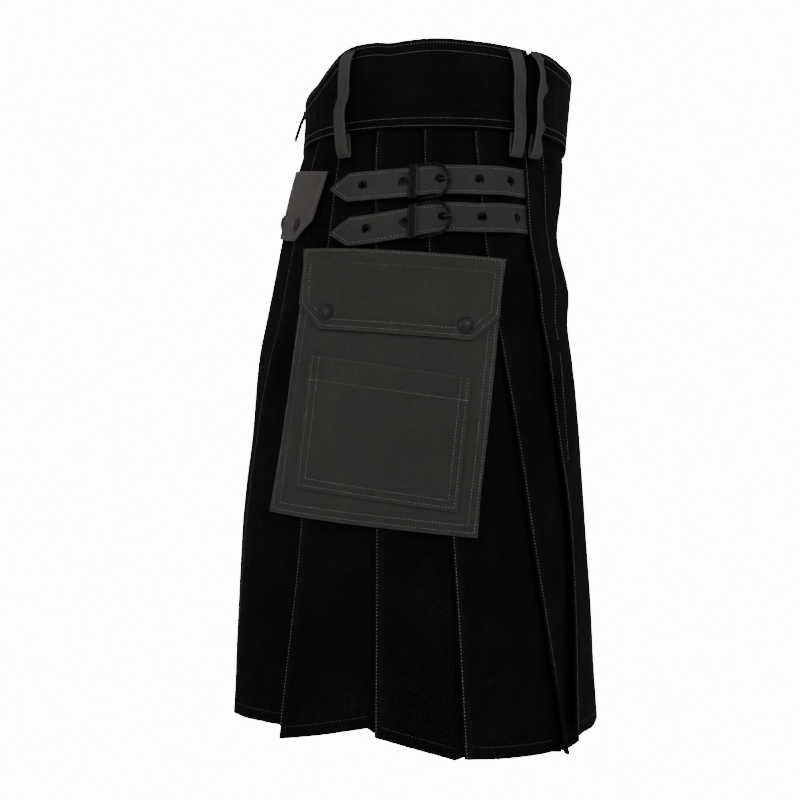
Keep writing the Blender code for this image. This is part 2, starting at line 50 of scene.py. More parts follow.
# Cloth thicknesses, and how far the outer faces lie outside the form
CLOTH, APRON, BAND, TRIM, LOOP, STRAP = 1.2, 1.5, 3.0, 1.6, 1.8, 1.8
OUT_FOLD = 5.0
OUT_BAND = 4.0
OUT_BAND_APRON = 7.4
OUT_POCKET = 7.1
OUT_PATCH = 9.1
OUT_FLAP = 9.7
OUT_STRAP_UNDER, OUT_STRAP = 2.9, 9.4
SEAM_LINE, STITCH_TOP, HEM = -42.0, -42.8, -570.0

# Plan of the garment: height, half width at the side, depth to back and to front, squareness
FORM = np.array((
    (60, 146, 118, 130, 2.3), (-40, 150, 120.5, 121, 2.3), (-90, 160, 131.5, 117.5, 2.4),
    (-130, 168, 139.5, 113.5, 2.5), (-178, 177, 148, 122, 2.6), (-208, 182, 154, 121, 2.6),
    (-240, 187, 159.5, 125.5, 2.7), (-315, 194, 166, 133, 2.7), (-350, 196.5, 170.5, 135.5, 2.65),
    (-400, 199, 175.5, 138, 2.6), (-500, 204, 179.5, 144, 2.6), (-590, 208, 180, 149.5, 2.6)))

BAND_TOP = ((-90, 3), (-70, 5), (-58, 7.5), (-51, 10), (-42, 20.4), (-35, 30), (-29, 34), (-20, 34.4),
            (-15, 33), (-10, 34.2), (0, 36), (15, 34), (30, 31.5), (42, 30.3), (52, 26.5),
            (62, 25.3), (90, 22.5))

# Folded edges: name, turn at each of FOLD_HEIGHTS, hem at the fold and at the panel's far end,
# and how far the fold swings out at the hem
FOLD_HEIGHTS = (-60, -150, -230, -310, -405, -570)
FOLDS = (
    ("apron", (30.1, 30.0, 32.2, 34.4, 40.0, 37.0), -566, -569, 2),
    ("d", (12.5, 13.8, 16.7, 20.3, 24.5, 32.4), -578, -579, 3.5),
    ("c", (-3.9, -2.3, -0.4, 1.6, 3.8, 6.1), -573, -577, 2),
    ("b", (-19.4, -17.1, -16.1, -15.2, -14.4, -14.0), -556, -578, 1),
    ("a", (-33.3, -32.1, -32.3, -32.5, -33.6, -37.6), -565, -549, 3),
    ("g", (-48.2, -49.3, -50.5, -57.3, -62.2, -66.1), -563, -556, 4.5),
    ("h", (-66.5, -67.5, -69.0, -73.0, -75.5, -78.5), -567, -564, 3),
    ("back", (-88.0, -88.0, -88.2, -88.4, -88.6, -88.7), -567, -566, 1),
)
GAP_TOP, GAP_HEM = 2.1, 4.2
HIDDEN, LAP, STRAP_ROOM, SWING_FROM = 0.45, 9.0, 1.0, 0.68

# Soft creases in the skirt: turn and height of both ends, width and depth (minus is a trough)
CREASES = (
    (25, -175, 21, -420, 10, -0.55), (9, -400, 13, -566, 15, 0.7), (20, -300, 27, -560, 9, -0.5),
    (-5, -395, -7, -560, 13, -0.8), (-10, -410, -3, -566, 9, 0.5), (-22, -390, -20, -560, 13, -0.7),
    (-28, -400, -30, -566, 10, 0.6), (-40, -60, -43, -300, 13, -0.6), (-48, -380, -51, -560, 14, 0.8),
    (-45, -300, -43, -560, 10, -0.6), (-60, -140, -66, -520, 16, -0.7), (-80, -60, -82, -560, 14, 0.6),
    (46, -60, 52, -240, 14, -0.9), (58, -120, 70, -330, 20, 1.0), (80, -80, 62, -260, 15, -0.8),
    (50, -300, 46, -560, 15, -0.9), (60, -340, 57, -566, 16, 0.9), (74, -280, 80, -566, 22, -1.0),
    (86, -200, 84, -480, 24, 0.9), (40, -60, 45, -140, 9, 0.6), (66, -50, 60, -120, 12, 0.6),
)


# A point between a and b on a curve that has the given slope at each
def curve_between(t, span, a, slope_a, b, slope_b):
    return ((2 * t**3 - 3 * t**2 + 1) * a + (t**3 - 2 * t**2 + t) * span * slope_a
            + (3 * t**2 - 2 * t**3) * b + (t**3 - t**2) * span * slope_b)


# Reads a table of pairs as a smooth curve
def smooth(pairs, at):
    if at <= min(p[0] for p in pairs):
        return min(pairs)[1]
    if at >= max(p[0] for p in pairs):
        return max(pairs)[1]
    pairs = sorted(pairs)
    i = max(k for k in range(len(pairs) - 1) if pairs[k][0] <= at)

    def slope(k):
        lo, hi = pairs[max(k - 1, 0)], pairs[min(k + 1, len(pairs) - 1)]
        return (hi[1] - lo[1]) / (hi[0] - lo[0])

    span = pairs[i + 1][0] - pairs[i][0]
    t = (at - pairs[i][0]) / span
    return curve_between(t, span, pairs[i][1], slope(i), pairs[i + 1][1], slope(i + 1))


LEVELS = FORM[::-1]
SLOPES = np.array([(LEVELS[min(k + 1, len(LEVELS) - 1)] - LEVELS[max(k - 1, 0)])
                   / (LEVELS[min(k + 1, len(LEVELS) - 1), 0] - LEVELS[max(k - 1, 0), 0])
                   for k in range(len(LEVELS))])
form_cache = {}


# Half width, depth to back and to front, and squareness at a height
def form_at(height):
    key = round(height, 1)
    if key not in form_cache:
        at = min(max(height, LEVELS[0, 0]), LEVELS[-1, 0])
        i = min(int(np.searchsorted(LEVELS[:, 0], at, side="right")) - 1, len(LEVELS) - 2)
        span = LEVELS[i + 1, 0] - LEVELS[i, 0]
        t = (at - LEVELS[i, 0]) / span
        value = curve_between(t, span, LEVELS[i], SLOPES[i], LEVELS[i + 1], SLOPES[i + 1])
        form_cache[key] = tuple(float(v) for v in value[1:])
    return form_cache[key]


# Share of the way from the waistband's seam down to the hem
def fall(height):
    return min(max((STITCH_TOP - height) / (STITCH_TOP - HEM), 0.0), 1.0)


# The cloth hangs a little unevenly, more so toward the hem
def sway(x, y, height):
    down = fall(height + 20)
    if down <= 0:
        return 0.0
    angle = math.atan2(y, x)
    c, s = math.cos(angle), math.sin(angle)
    broad = noise.noise(Vector((c * 2.2 + 4.1, s * 2.2, height / 210)))
    fine = noise.noise(Vector((c * 6.5, s * 6.5 + 2.7, height / 120)))
    return down**0.8 * (1.3 * broad + 0.8 * fine)


# A point of the garment: turn round the body, height, and distance outside the form
def skin(turn, height, out, hip=RIGHT):
    c, s = math.cos(math.radians(turn)), math.sin(math.radians(turn))
    side, back, front, power = form_at(height)
    side += out
    depth = (front if s > 0 else back) + out
    reach = ((abs(c) / side) ** power + (abs(s) / depth) ** power) ** (-1 / power)
    x, y = -reach * c * hip, -reach * s
    extra = 1 + sway(x, y, height) / reach
    return Vector((x * extra, y * extra, height)) * MM


# Degrees of turn that a length in millimetres takes up
def turn_for(length, turn, height, out=OUT_FOLD):
    chord = (skin(turn + 0.5, height, out) - skin(turn - 0.5, height, out)).length / MM
    return length / chord


def spread(start, end, count):
    return [start + (end - start) * i / count for i in range(count + 1)]


def bell(distance, width):
    return math.exp(-((distance / width) ** 2))


def step_up(value, low, high):
    t = min(max((value - low) / (high - low), 0.0), 1.0)
    return t * t * (3 - 2 * t)


# How far the creases lift the cloth; the left hip's lie a little lower and further back
def crease(turn, height, hip):
    if hip == LEFT:
        turn, height = turn - 2.5, height * 1.04
    lift = 0.0
    for t0, h0, t1, h1, width, depth in CREASES:
        run = (height - h0) / (h1 - h0)
        if -0.1 < run < 1.1:
            near = (turn - (t0 + (t1 - t0) * run)) * 3.2
            if abs(near) < 2.6 * width:
                lift += depth * bell(near, width) * math.sin(math.pi * min(max(run, 0), 1)) ** 0.6
    return lift


# Cloths, thread and metal
def group(name, inputs, outputs):
    tree = bpy.data.node_groups.new(name, "ShaderNodeTree")
    for label, kind, value in inputs:
        socket = tree.interface.new_socket(label, in_out="INPUT", socket_type=kind)
        if value is not None:
            socket.default_value = value
    for label, kind in outputs:
        tree.interface.new_socket(label, in_out="OUTPUT", socket_type=kind)
    return tree, tree.nodes.new("NodeGroupInput"), tree.nodes.new("NodeGroupOutput")


# Links a socket to another, or gives it a plain value
def feed(tree, target, links):
    for socket, source in links:
        if isinstance(source, bpy.types.NodeSocket):
            tree.links.new(source, target.inputs[socket])
        else:
            target.inputs[socket].default_value = source


def node(tree, kind, links=(), **settings):
    made = tree.nodes.new(kind)
    for key, value in settings.items():
        setattr(made, key, value)
    feed(tree, made, links)
    return made


def maths(tree, operation, *values):
    return node(tree, "ShaderNodeMath", list(enumerate(values)), operation=operation).outputs[0]


FLOAT, VECTOR, COLOR = "NodeSocketFloat", "NodeSocketVector", "NodeSocketColor"


# Yarns of the cloth from the piece's own UV map, in metres: plain canvas or diagonal twill
def make_weave():
    tree, come, go = group("Woven yarns", [("UV", VECTOR, None), ("Yarns", FLOAT, 1200.0),
                                           ("Twill", FLOAT, 1.0)],
                           [("Height", FLOAT), ("Slub", FLOAT)])
    uneven = node(tree, "ShaderNodeTexNoise", [("Vector", come.outputs["UV"]), ("Scale", 260.0),
                                               ("Detail", 2.0)])
    parts = node(tree, "ShaderNodeSeparateXYZ", [(0, come.outputs["UV"])])
    turn = maths(tree, "MULTIPLY", come.outputs["Yarns"], math.pi)
    across = maths(tree, "MULTIPLY", parts.outputs[0], turn)
    down = maths(tree, "MULTIPLY", parts.outputs[1], turn)
    shift = maths(tree, "MULTIPLY", uneven.outputs["Fac"], 2.2)
    plain = maths(tree, "MULTIPLY", maths(tree, "SINE", across), maths(tree, "SINE", down))
    ribs = maths(tree, "SINE", maths(tree, "ADD", maths(tree, "ADD", across, down), shift))
    kind = node(tree, "ShaderNodeMix", [("Factor", come.outputs["Twill"]), ("A", plain),
                                        ("B", ribs)])
    height = maths(tree, "MULTIPLY_ADD", kind.outputs[0], 0.5, 0.5)
    slub = node(tree, "ShaderNodeTexNoise", [("Vector", node(tree, "ShaderNodeMapping", [
        ("Vector", come.outputs["UV"]), ("Scale", (900.0, 90.0, 1.0))]).outputs[0]),
        ("Scale", 1.0), ("Detail", 3.0)])
    feed(tree, go, [("Height", height), ("Slub", slub.outputs["Fac"])])
    return tree


# Worn dye: broad soft patches and lint, and a paler line where the cloth is folded; that line is partly
# rubbed dye and partly a painted highlight on the raised edge
def make_dye_and_highlight():
    tree, come, go = group("Dye, lint and painted edge highlight", [
        ("Dark", COLOR, None), ("Pale", COLOR, None), ("Slub", FLOAT, 0.5), ("Fold", FLOAT, 0.0),
        ("Edge rub and highlight", FLOAT, 0.5), ("Patch size", FLOAT, 14.0)],
        [("Color", COLOR), ("Roughness", FLOAT)])
    place = node(tree, "ShaderNodeTexCoord").outputs["Object"]
    patches = node(tree, "ShaderNodeTexNoise", [("Vector", place),
                                                ("Scale", come.outputs["Patch size"]),
                                                ("Detail", 5.0), ("Roughness", 0.62)])
    lint = node(tree, "ShaderNodeTexNoise", [("Vector", place), ("Scale", 700.0), ("Detail", 2.0)])
    specks = maths(tree, "SMOOTH_MAX", maths(tree, "MULTIPLY_ADD", lint.outputs["Fac"], 6.0, -3.9),
                   0.0, 0.05)
    tone = maths(tree, "MULTIPLY_ADD", patches.outputs["Fac"], 1.7, -0.4)
    tone = maths(tree, "ADD", tone, maths(tree, "MULTIPLY_ADD", come.outputs["Slub"], 0.5, -0.25))
    # Paler line along folds and edges: partly rubbed dye, partly painted highlight
    edge_rub_and_highlight = maths(tree, "MULTIPLY", come.outputs["Fold"], come.outputs["Edge rub and highlight"])
    tone = maths(tree, "ADD", maths(tree, "ADD", tone, edge_rub_and_highlight), maths(tree, "MULTIPLY", specks, 0.25))
    mixed = node(tree, "ShaderNodeMix", [("Factor", tone)], data_type="RGBA", clamp_factor=False)
    for socket, name in (("A", "Dark"), ("B", "Pale")):
        tree.links.new(come.outputs[name],
                       [s for s in mixed.inputs if s.name == socket and s.type == "RGBA"][0])
    colour = [s for s in mixed.outputs if s.type == "RGBA"][0]
    rough = maths(tree, "MULTIPLY_ADD", patches.outputs["Fac"], 0.2, 0.74)
    feed(tree, go, [("Color", colour), ("Roughness", rough)])
    return tree


# Soft rumples that are too small for the mesh
def make_rumple():
    tree, come, go = group("Rumple", [("Size", FLOAT, 30.0), ("Yarn height", FLOAT, 0.0),
                                      ("Yarn share", FLOAT, 0.1)], [("Height", FLOAT)])
    place = node(tree, "ShaderNodeTexCoord").outputs["Object"]
    long = node(tree, "ShaderNodeMapping", [("Vector", place), ("Scale", (1.0, 1.0, 0.45))])
    big = node(tree, "ShaderNodeTexNoise", [("Vector", long.outputs[0]),
                                            ("Scale", come.outputs["Size"]), ("Detail", 4.0),
                                            ("Roughness", 0.5), ("Distortion", 0.4)])
    yarn = maths(tree, "MULTIPLY", come.outputs["Yarn height"], come.outputs["Yarn share"])
    feed(tree, go, [("Height", maths(tree, "ADD", big.outputs["Fac"], yarn))])
    return tree


WEAVE, DYE_AND_HIGHLIGHT, RUMPLE = make_weave(), make_dye_and_highlight(), make_rumple()


def plain_material(name, colour, roughness, specular):
    made = bpy.data.materials.new(name)
    made.use_nodes = True
    shader = made.node_tree.nodes["Principled BSDF"]
    feed(made.node_tree, shader, [("Base Color", (*colour, 1)), ("Roughness", roughness),
                                  ("Specular IOR Level", specular)])
    made.diffuse_color = (*colour, 1)
    return made, made.node_tree, shader


# Share of diagonal twill, yarns in a metre, and how much the yarns show in the relief
TWILL = (1.0, 1250.0, 0.03)
CANVAS = (0.0, 1500.0, 0.1)


def cloth_material(name, dark, pale, weave_kind, rumple, depth, sheen, specular, edge_rub_and_highlight):
    twill, yarns, yarn_share = weave_kind
    made, tree, shader = plain_material(name, dark, 0.85, specular)
    uv = node(tree, "ShaderNodeUVMap", uv_map="Cloth").outputs[0]
    # The fold attribute paints the paler edge line: partly rubbed dye, partly painted highlight
    fold = node(tree, "ShaderNodeAttribute", attribute_name="fold").outputs["Fac"]
    weave = node(tree, "ShaderNodeGroup", [("UV", uv), ("Yarns", yarns), ("Twill", twill)],
                 node_tree=WEAVE)
    dye_and_highlight = node(tree, "ShaderNodeGroup", [("Dark", (*dark, 1)), ("Pale", (*pale, 1)),
                                          ("Slub", weave.outputs["Slub"]), ("Fold", fold),
                                          ("Edge rub and highlight", edge_rub_and_highlight)], node_tree=DYE_AND_HIGHLIGHT)
    soft = node(tree, "ShaderNodeGroup", [("Size", rumple), ("Yarn height", weave.outputs["Height"]),
                                          ("Yarn share", yarn_share)], node_tree=RUMPLE)
    bump = node(tree, "ShaderNodeBump", [("Height", soft.outputs["Height"]), ("Distance", depth),
                                         ("Strength", 0.8)])
    feed(tree, shader, [("Base Color", dye_and_highlight.outputs["Color"]), ("Roughness", dye_and_highlight.outputs["Roughness"]),
                        ("Normal", bump.outputs[0]), ("Sheen Weight", sheen), ("Sheen Roughness", 0.5)])
    return made


# Fine specks of two colours, which also give the relief of metal
def speckle(tree, shader, scale, low, high, dark, pale):
    place = node(tree, "ShaderNodeTexCoord").outputs["Object"]
    specks = node(tree, "ShaderNodeTexNoise", [("Vector", place), ("Scale", scale), ("Detail", 3.0)])
    ramp = node(tree, "ShaderNodeValToRGB", [("Fac", specks.outputs["Fac"])])
    for element, at, colour in zip(ramp.color_ramp.elements, (low, high), (dark, pale)):
        element.position, element.color = at, (*colour, 1)
    feed(tree, shader, [("Base Color", ramp.outputs["Color"])])
    return specks.outputs["Fac"]


def thread_material(name, dark, pale):
    made, tree, shader = plain_material(name, pale, 0.8, 0.2)
    speckle(tree, shader, 300.0, 0.3, 0.7, dark, pale)
    return made


def metal_material(name, dark, worn, rough, specular):
    made, tree, shader = plain_material(name, dark, rough, specular)
    rub = speckle(tree, shader, 700.0, 0.42, 0.75, dark, worn)
    bump = node(tree, "ShaderNodeBump", [("Height", rub), ("Distance", 0.0003), ("Strength", 0.5)])
    feed(tree, shader, [("Roughness", maths(tree, "MULTIPLY_ADD", rub, 0.35, rough - 0.15)),
                        ("Normal", bump.outputs[0])])
    return made


BLACK = cloth_material("Black twill", (0.0042, 0.0042, 0.0044), (0.0108, 0.0108, 0.0104), TWILL,
                       rumple=16.0, depth=0.006, sheen=0.0, specular=0.02, edge_rub_and_highlight=0.5)
# The apron is the same black twill as the panels, made lighter to paint in the sheen it catches at its
# grazing angle: painted sheen
APRON_BLACK_PAINTED_SHEEN = cloth_material("Apron twill with painted sheen", (0.0056, 0.0056, 0.0053), (0.0152, 0.0152, 0.0134), TWILL,
                             rumple=15.0, depth=0.007, sheen=0.0, specular=0.01, edge_rub_and_highlight=0.6)
BAND_BLACK = cloth_material("Waistband twill", (0.004, 0.004, 0.0038), (0.0114, 0.0114, 0.0102), TWILL,
                            rumple=24.0, depth=0.005, sheen=0.01, specular=0.02, edge_rub_and_highlight=0.6)
CHARCOAL, CHARCOAL_FLAP, CHARCOAL_LOOP, CHARCOAL_STRAP, WARM = [
    cloth_material(f"{name} canvas", dark, pale, CANVAS, rumple, depth, sheen, 0.05, edge_rub_and_highlight)
    for name, dark, pale, rumple, depth, sheen, edge_rub_and_highlight in (
        ("Charcoal", (0.0425, 0.0425, 0.0391), (0.0658, 0.0658, 0.0607), 22.0, 0.0035, 0.04, 0.9),
        ("Charcoal flap", (0.0428, 0.0433, 0.0394), (0.0655, 0.066, 0.0603), 22.0, 0.0035, 0.04, 0.9),
        ("Charcoal loop", (0.05, 0.051, 0.0465), (0.0775, 0.0795, 0.0727), 40.0, 0.003, 0.04, 0.9),
        ("Charcoal strap", (0.0405, 0.0405, 0.0377), (0.0632, 0.0632, 0.059), 40.0, 0.003, 0.03, 0.8),
        ("Warm grey", (0.087, 0.075, 0.0722), (0.125, 0.1078, 0.1043), 26.0, 0.0035, 0.03, 0.6))]
THREAD = thread_material("Grey topstitch thread", (0.14, 0.14, 0.134), (0.4, 0.4, 0.385))
THREAD_DIM = thread_material("Dark topstitch thread", (0.06, 0.06, 0.058), (0.18, 0.18, 0.173))
METAL = metal_material("Black enamelled metal", (0.0074, 0.0074, 0.0072), (0.0118, 0.0118, 0.0113),
                       0.26, 0.13)
METAL_WORN = metal_material("Rubbed black metal", (0.019, 0.0192, 0.0188), (0.041, 0.041, 0.04),
                            0.3, 0.22)


# Making and dressing pieces
def finish(piece, material, nodes=()):
    piece.data.materials.clear()
    piece.data.materials.append(material)
    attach(piece, "root")
    if nodes:
        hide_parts(*nodes)


def select_only(piece):
    bpy.ops.object.select_all(action="DESELECT")
    piece.select_set(True)
    bpy.context.view_layer.objects.active = piece


def apply_modifiers(piece):
    select_only(piece)
    for modifier in list(piece.modifiers):
        bpy.ops.object.modifier_apply(modifier=modifier.name)


def shade(piece, angle=50):
    select_only(piece)
    bpy.ops.object.shade_smooth_by_angle(angle=math.radians(angle))


def edit_all():
    bpy.ops.object.mode_set(mode="EDIT")
    bpy.ops.mesh.select_all(action="SELECT")


# Leaves edit mode with every face pointing outwards
def leave_edit_outward():
    bpy.ops.mesh.select_all(action="SELECT")
    bpy.ops.mesh.normals_make_consistent(inside=False)
    bpy.ops.object.mode_set(mode="OBJECT")


def piece_from(name, points, faces):
    mesh = bpy.data.meshes.new(name)
    mesh.from_pydata([p[:] for p in points], [], faces)
    mesh.update()
    piece = bpy.data.objects.new(name, mesh)
    bpy.context.scene.collection.objects.link(piece)
    return piece


def lengths_along(points):
    lengths = [0.0]
    for a, b in zip(points, points[1:]):
        lengths.append(lengths[-1] + (b - a).length)
    return lengths


# The stretch of a line that holds a length from its start, and the share of that stretch
def place_at(lengths, at, index=0):
    while index < len(lengths) - 2 and lengths[index + 1] < at:
        index += 1
    return index, (at - lengths[index]) / max(lengths[index + 1] - lengths[index], 1e-9)


# A grid laid out point by point: rows of (point, fold value), with UV in metres along the cloth; the fold
# value paints a paler line on edges and folds, partly rubbed dye and partly painted highlight
def cloth(name, rows, thickness, centred=False, holes=(), rim=0.0, angle=50):
    bpy.ops.object.select_all(action="DESELECT")
    down, across = len(rows), len(rows[0])
    bpy.ops.mesh.primitive_grid_add(x_subdivisions=across - 1, y_subdivisions=down - 1, size=2)
    piece = bpy.context.object
    piece.name = piece.data.name = name
    mesh = piece.data
    flat = np.empty(len(mesh.vertices) * 3)
    mesh.vertices.foreach_get("co", flat)
    flat = flat.reshape(-1, 3).round(4)
    order = np.lexsort((flat[:, 0], -flat[:, 1]))
    points = np.array([[p[0][:] for p in row] for row in rows]).reshape(-1, 3)
    edge_rub_and_highlight_marks = np.array([[p[1] for p in row] for row in rows]).reshape(-1)
    placed, fold = np.empty_like(points), np.empty(len(edge_rub_and_highlight_marks))
    placed[order], fold[order] = points, edge_rub_and_highlight_marks
    mesh.vertices.foreach_set("co", placed.reshape(-1))
    grid = points.reshape(down, across, 3)
    along = np.concatenate([[0], np.cumsum(np.linalg.norm(np.diff(grid[down // 2], axis=0), axis=1))])
    drop = np.concatenate([[0], np.cumsum(np.linalg.norm(np.diff(grid[:, across // 2], axis=0), axis=1))])
    uv = np.empty((len(points), 2))
    uv[order, 0] = np.tile(along, down)
    uv[order, 1] = -np.repeat(drop, across)
    corner = np.empty(len(mesh.loops), dtype=np.int32)
    mesh.loops.foreach_get("vertex_index", corner)
    layer = mesh.uv_layers[0] if mesh.uv_layers else mesh.uv_layers.new(name="Cloth")
    layer.name = "Cloth"
    layer.data.foreach_set("uv", uv[corner].reshape(-1))
    # Stored as the fold attribute: a paler line on edges and folds, partly rubbed dye and partly painted
    # highlight
    attribute = mesh.attributes.new("fold", "FLOAT", "POINT")
    attribute.data.foreach_set("value", fold)
    mesh.update()
    outward = sum(f.area * (f.normal.x * f.center.x + f.normal.y * f.center.y)
                  for f in mesh.polygons)
    if outward < 0:
        mesh.flip_normals()
    if holes:
        work = bmesh.new()
        work.from_mesh(mesh)
        gone = [f for f in work.faces
                if any((f.calc_center_median() - h).length < r for h, r in holes)]
        bmesh.ops.delete(work, geom=gone, context="FACES")
        work.to_mesh(mesh)
        work.free()
    solid = piece.modifiers.new("Cloth", "SOLIDIFY")
    solid.thickness = thickness * MM
    solid.offset = 0.0 if centred else -1.0
    if rim:
        bevel = piece.modifiers.new("Turned edge", "BEVEL")
        bevel.width, bevel.segments = rim * MM, 2
        bevel.limit_method, bevel.angle_limit = "ANGLE", math.radians(60)
    apply_modifiers(piece)
    shade(piece, angle)
    return piece


# One stitch, modelled once: a short thread that dips into the cloth at both ends
def make_stitch():
    bpy.ops.object.select_all(action="DESELECT")
    bpy.ops.mesh.primitive_cylinder_add(vertices=5, radius=1, depth=2, end_fill_type="NOTHING")
    piece = bpy.context.object
    bpy.ops.object.mode_set(mode="EDIT")
    for cut in (0.45, -0.45):
        bpy.ops.mesh.select_all(action="SELECT")
        bpy.ops.mesh.bisect(plane_co=(0, 0, cut), plane_no=(0, 0, 1))
    bpy.ops.object.mode_set(mode="OBJECT")
    mesh = piece.data
    points = np.array([v.co[:] for v in mesh.vertices])
    ends = np.abs(points[:, 2]) > 0.9
    points[ends, :2] *= 0.55
    points[ends, 0] -= 0.55
    faces = [tuple(p.vertices) for p in mesh.polygons]
    bpy.data.objects.remove(piece, do_unlink=True)
    return points, faces


STITCH_POINTS, STITCH_FACES = make_stitch()
STITCH_PITCH, STITCH_LENGTH, STITCH_PROUD = 2.8, 1.5, 0.12
chance = random.Random(7)


# Walks along spots of (turn, height, out) and puts a stitch into the bag at each pitch
def sew(bag, spots, hip, width, missing=0.0):
    points = [skin(*spot, hip) for spot in spots]
    outward = [skin(turn, height, out + 5, hip) - p for (turn, height, out), p in zip(spots, points)]
    lengths = lengths_along(points)
    total = lengths[-1]
    count = int(total / (STITCH_PITCH * MM))
    index = 0
    for number in range(count):
        index, share = place_at(lengths, (number + 0.5) * total / count, index)
        middle = points[index].lerp(points[index + 1], share)
        normal = outward[index].lerp(outward[index + 1], share).normalized()
        along = (points[index + 1] - points[index]).normalized()
        side = along.cross(normal).normalized()
        along = (along + side * chance.uniform(-0.05, 0.05)).normalized()
        if noise.noise(middle * 45) > 1 - missing:
            continue
        scale = chance.uniform(0.85, 1.1)
        bag.append((middle + normal * STITCH_PROUD * MM, normal, side, along, STITCH_LENGTH * scale,
                    width))


# Makes one piece of all the stitches in a bag
def thread(name, bag, material):
    points, faces = [], []
    for middle, normal, side, along, length, width in bag:
        start = len(points)
        for x, y, z in STITCH_POINTS:
            points.append(middle + (normal * x * width + side * y * width + along * z * length / 2) * MM)
        faces.extend(tuple(start + i for i in f) for f in STITCH_FACES)
    piece = piece_from(name, points, faces)
    select_only(piece)
    edit_all()
    leave_edit_outward()
    bpy.ops.object.shade_smooth()
    finish(piece, material)


# Skirt
def fold_turn(fold, height):
    return smooth(list(zip(FOLD_HEIGHTS, fold[1])), height)


def pleat_gap(height):
    return GAP_TOP + (GAP_HEM - GAP_TOP) * fall(height) ** 1.3


# How far the cloth is drawn in on its way up to the waistband
def tuck(height):
    return 1.6 * min(max((height + 60.0) / (STITCH_TOP + 60.0), 0.0), 1.0)


def fold_lift(fold, height):
    return fold[4] * max(0.0, (fall(height) - SWING_FROM) / (1 - SWING_FROM)) ** 1.5


def level_at(fold, share, height):
    hem = fold[2] + (fold[3] - fold[2]) * min(max(share, 0.0), 1.0)
    return STITCH_TOP + (hem - STITCH_TOP) * fall(height) + max(0.0, height - STITCH_TOP)


HEM_ROW = 10    # the hem's stitches lie this far above it, in millimetres


def hem_groove(level, hem):
    return -0.28 * bell(level - hem - HEM_ROW, 2.2) + 0.15 * bell(level - hem - 4, 5)


# Outer face of a panel's top layer
def panel_out(fold, share, height, turn, hip):
    depth = OUT_FOLD - tuck(height) + fold_lift(fold, height) * max(0.0, 1 - 1.6 * share)
    depth -= 2 * pleat_gap(height) * min(share, 1.45)
    near = step_up(share, 0.02, 0.2) * (1 - step_up(share, 0.62, 0.95))
    depth += near * (crease(turn, level_at(fold, share, height), hip)
                     + 0.5 * noise.noise(Vector((turn / 4.5, height / 60.0, hip * 3.0 + 9))))
    return depth - 0.2 * bell(share, 0.16)


# The top row is the part that is sewn in under the waistband
ROWS = ([STITCH_TOP + 9, STITCH_TOP, -47, -52] + spread(-58, -544, 64)
        + [-550, -554, -557, -559, -561, -563.5, -567, HEM])
LAYER = (1.0, 0.9, 0.8, 0.71, 0.63, 0.55, 0.47, 0.39, 0.31, 0.24, 0.18, 0.13, 0.09)


def pleat_row(height, hip):
    gap, face = pleat_gap(height), OUT_FOLD - tuck(height) - CLOTH / 2
    row = []
    for front, fold in zip(FOLDS, FOLDS[1:]):
        start, end = fold_turn(fold, height), fold_turn(front, height)
        width = end - start
        radius = turn_for(gap / 2, start, height) / width
        stem = max(radius, 0.03)

        def put(share, out, edge_rub_and_highlight_mark=0.0):
            turn = start + share * width
            level = level_at(fold, share, height)
            row.append((skin(turn, level, out + hem_groove(level, level_at(fold, share, HEM)), hip),
                        edge_rub_and_highlight_mark))

        def inner(share, layer):
            lift = fold_lift(fold, height) * max(0.0, 1 - 1.6 * share)
            put(share, face + lift - 2 * gap * min(share, 1.45) - layer * gap)

        if front is FOLDS[0]:
            for extra in (LAP / width, 0.5 * LAP / width, 0.08):
                put(1 + extra, face - 2 * gap - STRAP_ROOM)
        for share in LAYER if front is FOLDS[0] else LAYER[1:]:
            out = panel_out(fold, share, height, start + share * width, hip) - CLOTH / 2
            # Paler line beside the fold edge: partly rubbed dye, partly painted highlight
            put(share, out, bell(share * width * 3.1, 5.0))
        # Round the fold its outward face is made paler: painted highlight, with some rubbed dye on the
        # crest
        for angle in (80, 50, 20, -10, -40, -70):
            a = math.radians(angle)
            top = face + fold_lift(fold, height)
            put(stem * (1 - math.cos(a)), top - gap / 2 + gap / 2 * math.sin(a),
                max(0.0, math.sin(a) * 0.6 + 0.5))
        for share, layer in ((max(0.09, stem * 1.3), 1), (0.22, 1), (HIDDEN - 0.05, 1), (HIDDEN, 1.3),
                             (HIDDEN, 1.7), (HIDDEN - 0.05, 2), (0.22, 2)):
            inner(share, layer)
        if fold is not FOLDS[-1]:
            inner(0.0, 2)
    row.append((skin(-90.0, level_at(FOLDS[-1], 0, height), face - 2.4 * gap, hip), 0.0))
    return row


def make_skirt():
    rows = []
    for height in ROWS:
        right, left = pleat_row(height, RIGHT), pleat_row(height, LEFT)
        rows.append(right + left[-2::-1])
    skirt = cloth("pleated_skirt_cloth", rows, CLOTH, centred=True)
    finish(skirt, BLACK, ["skirt_pleats"])


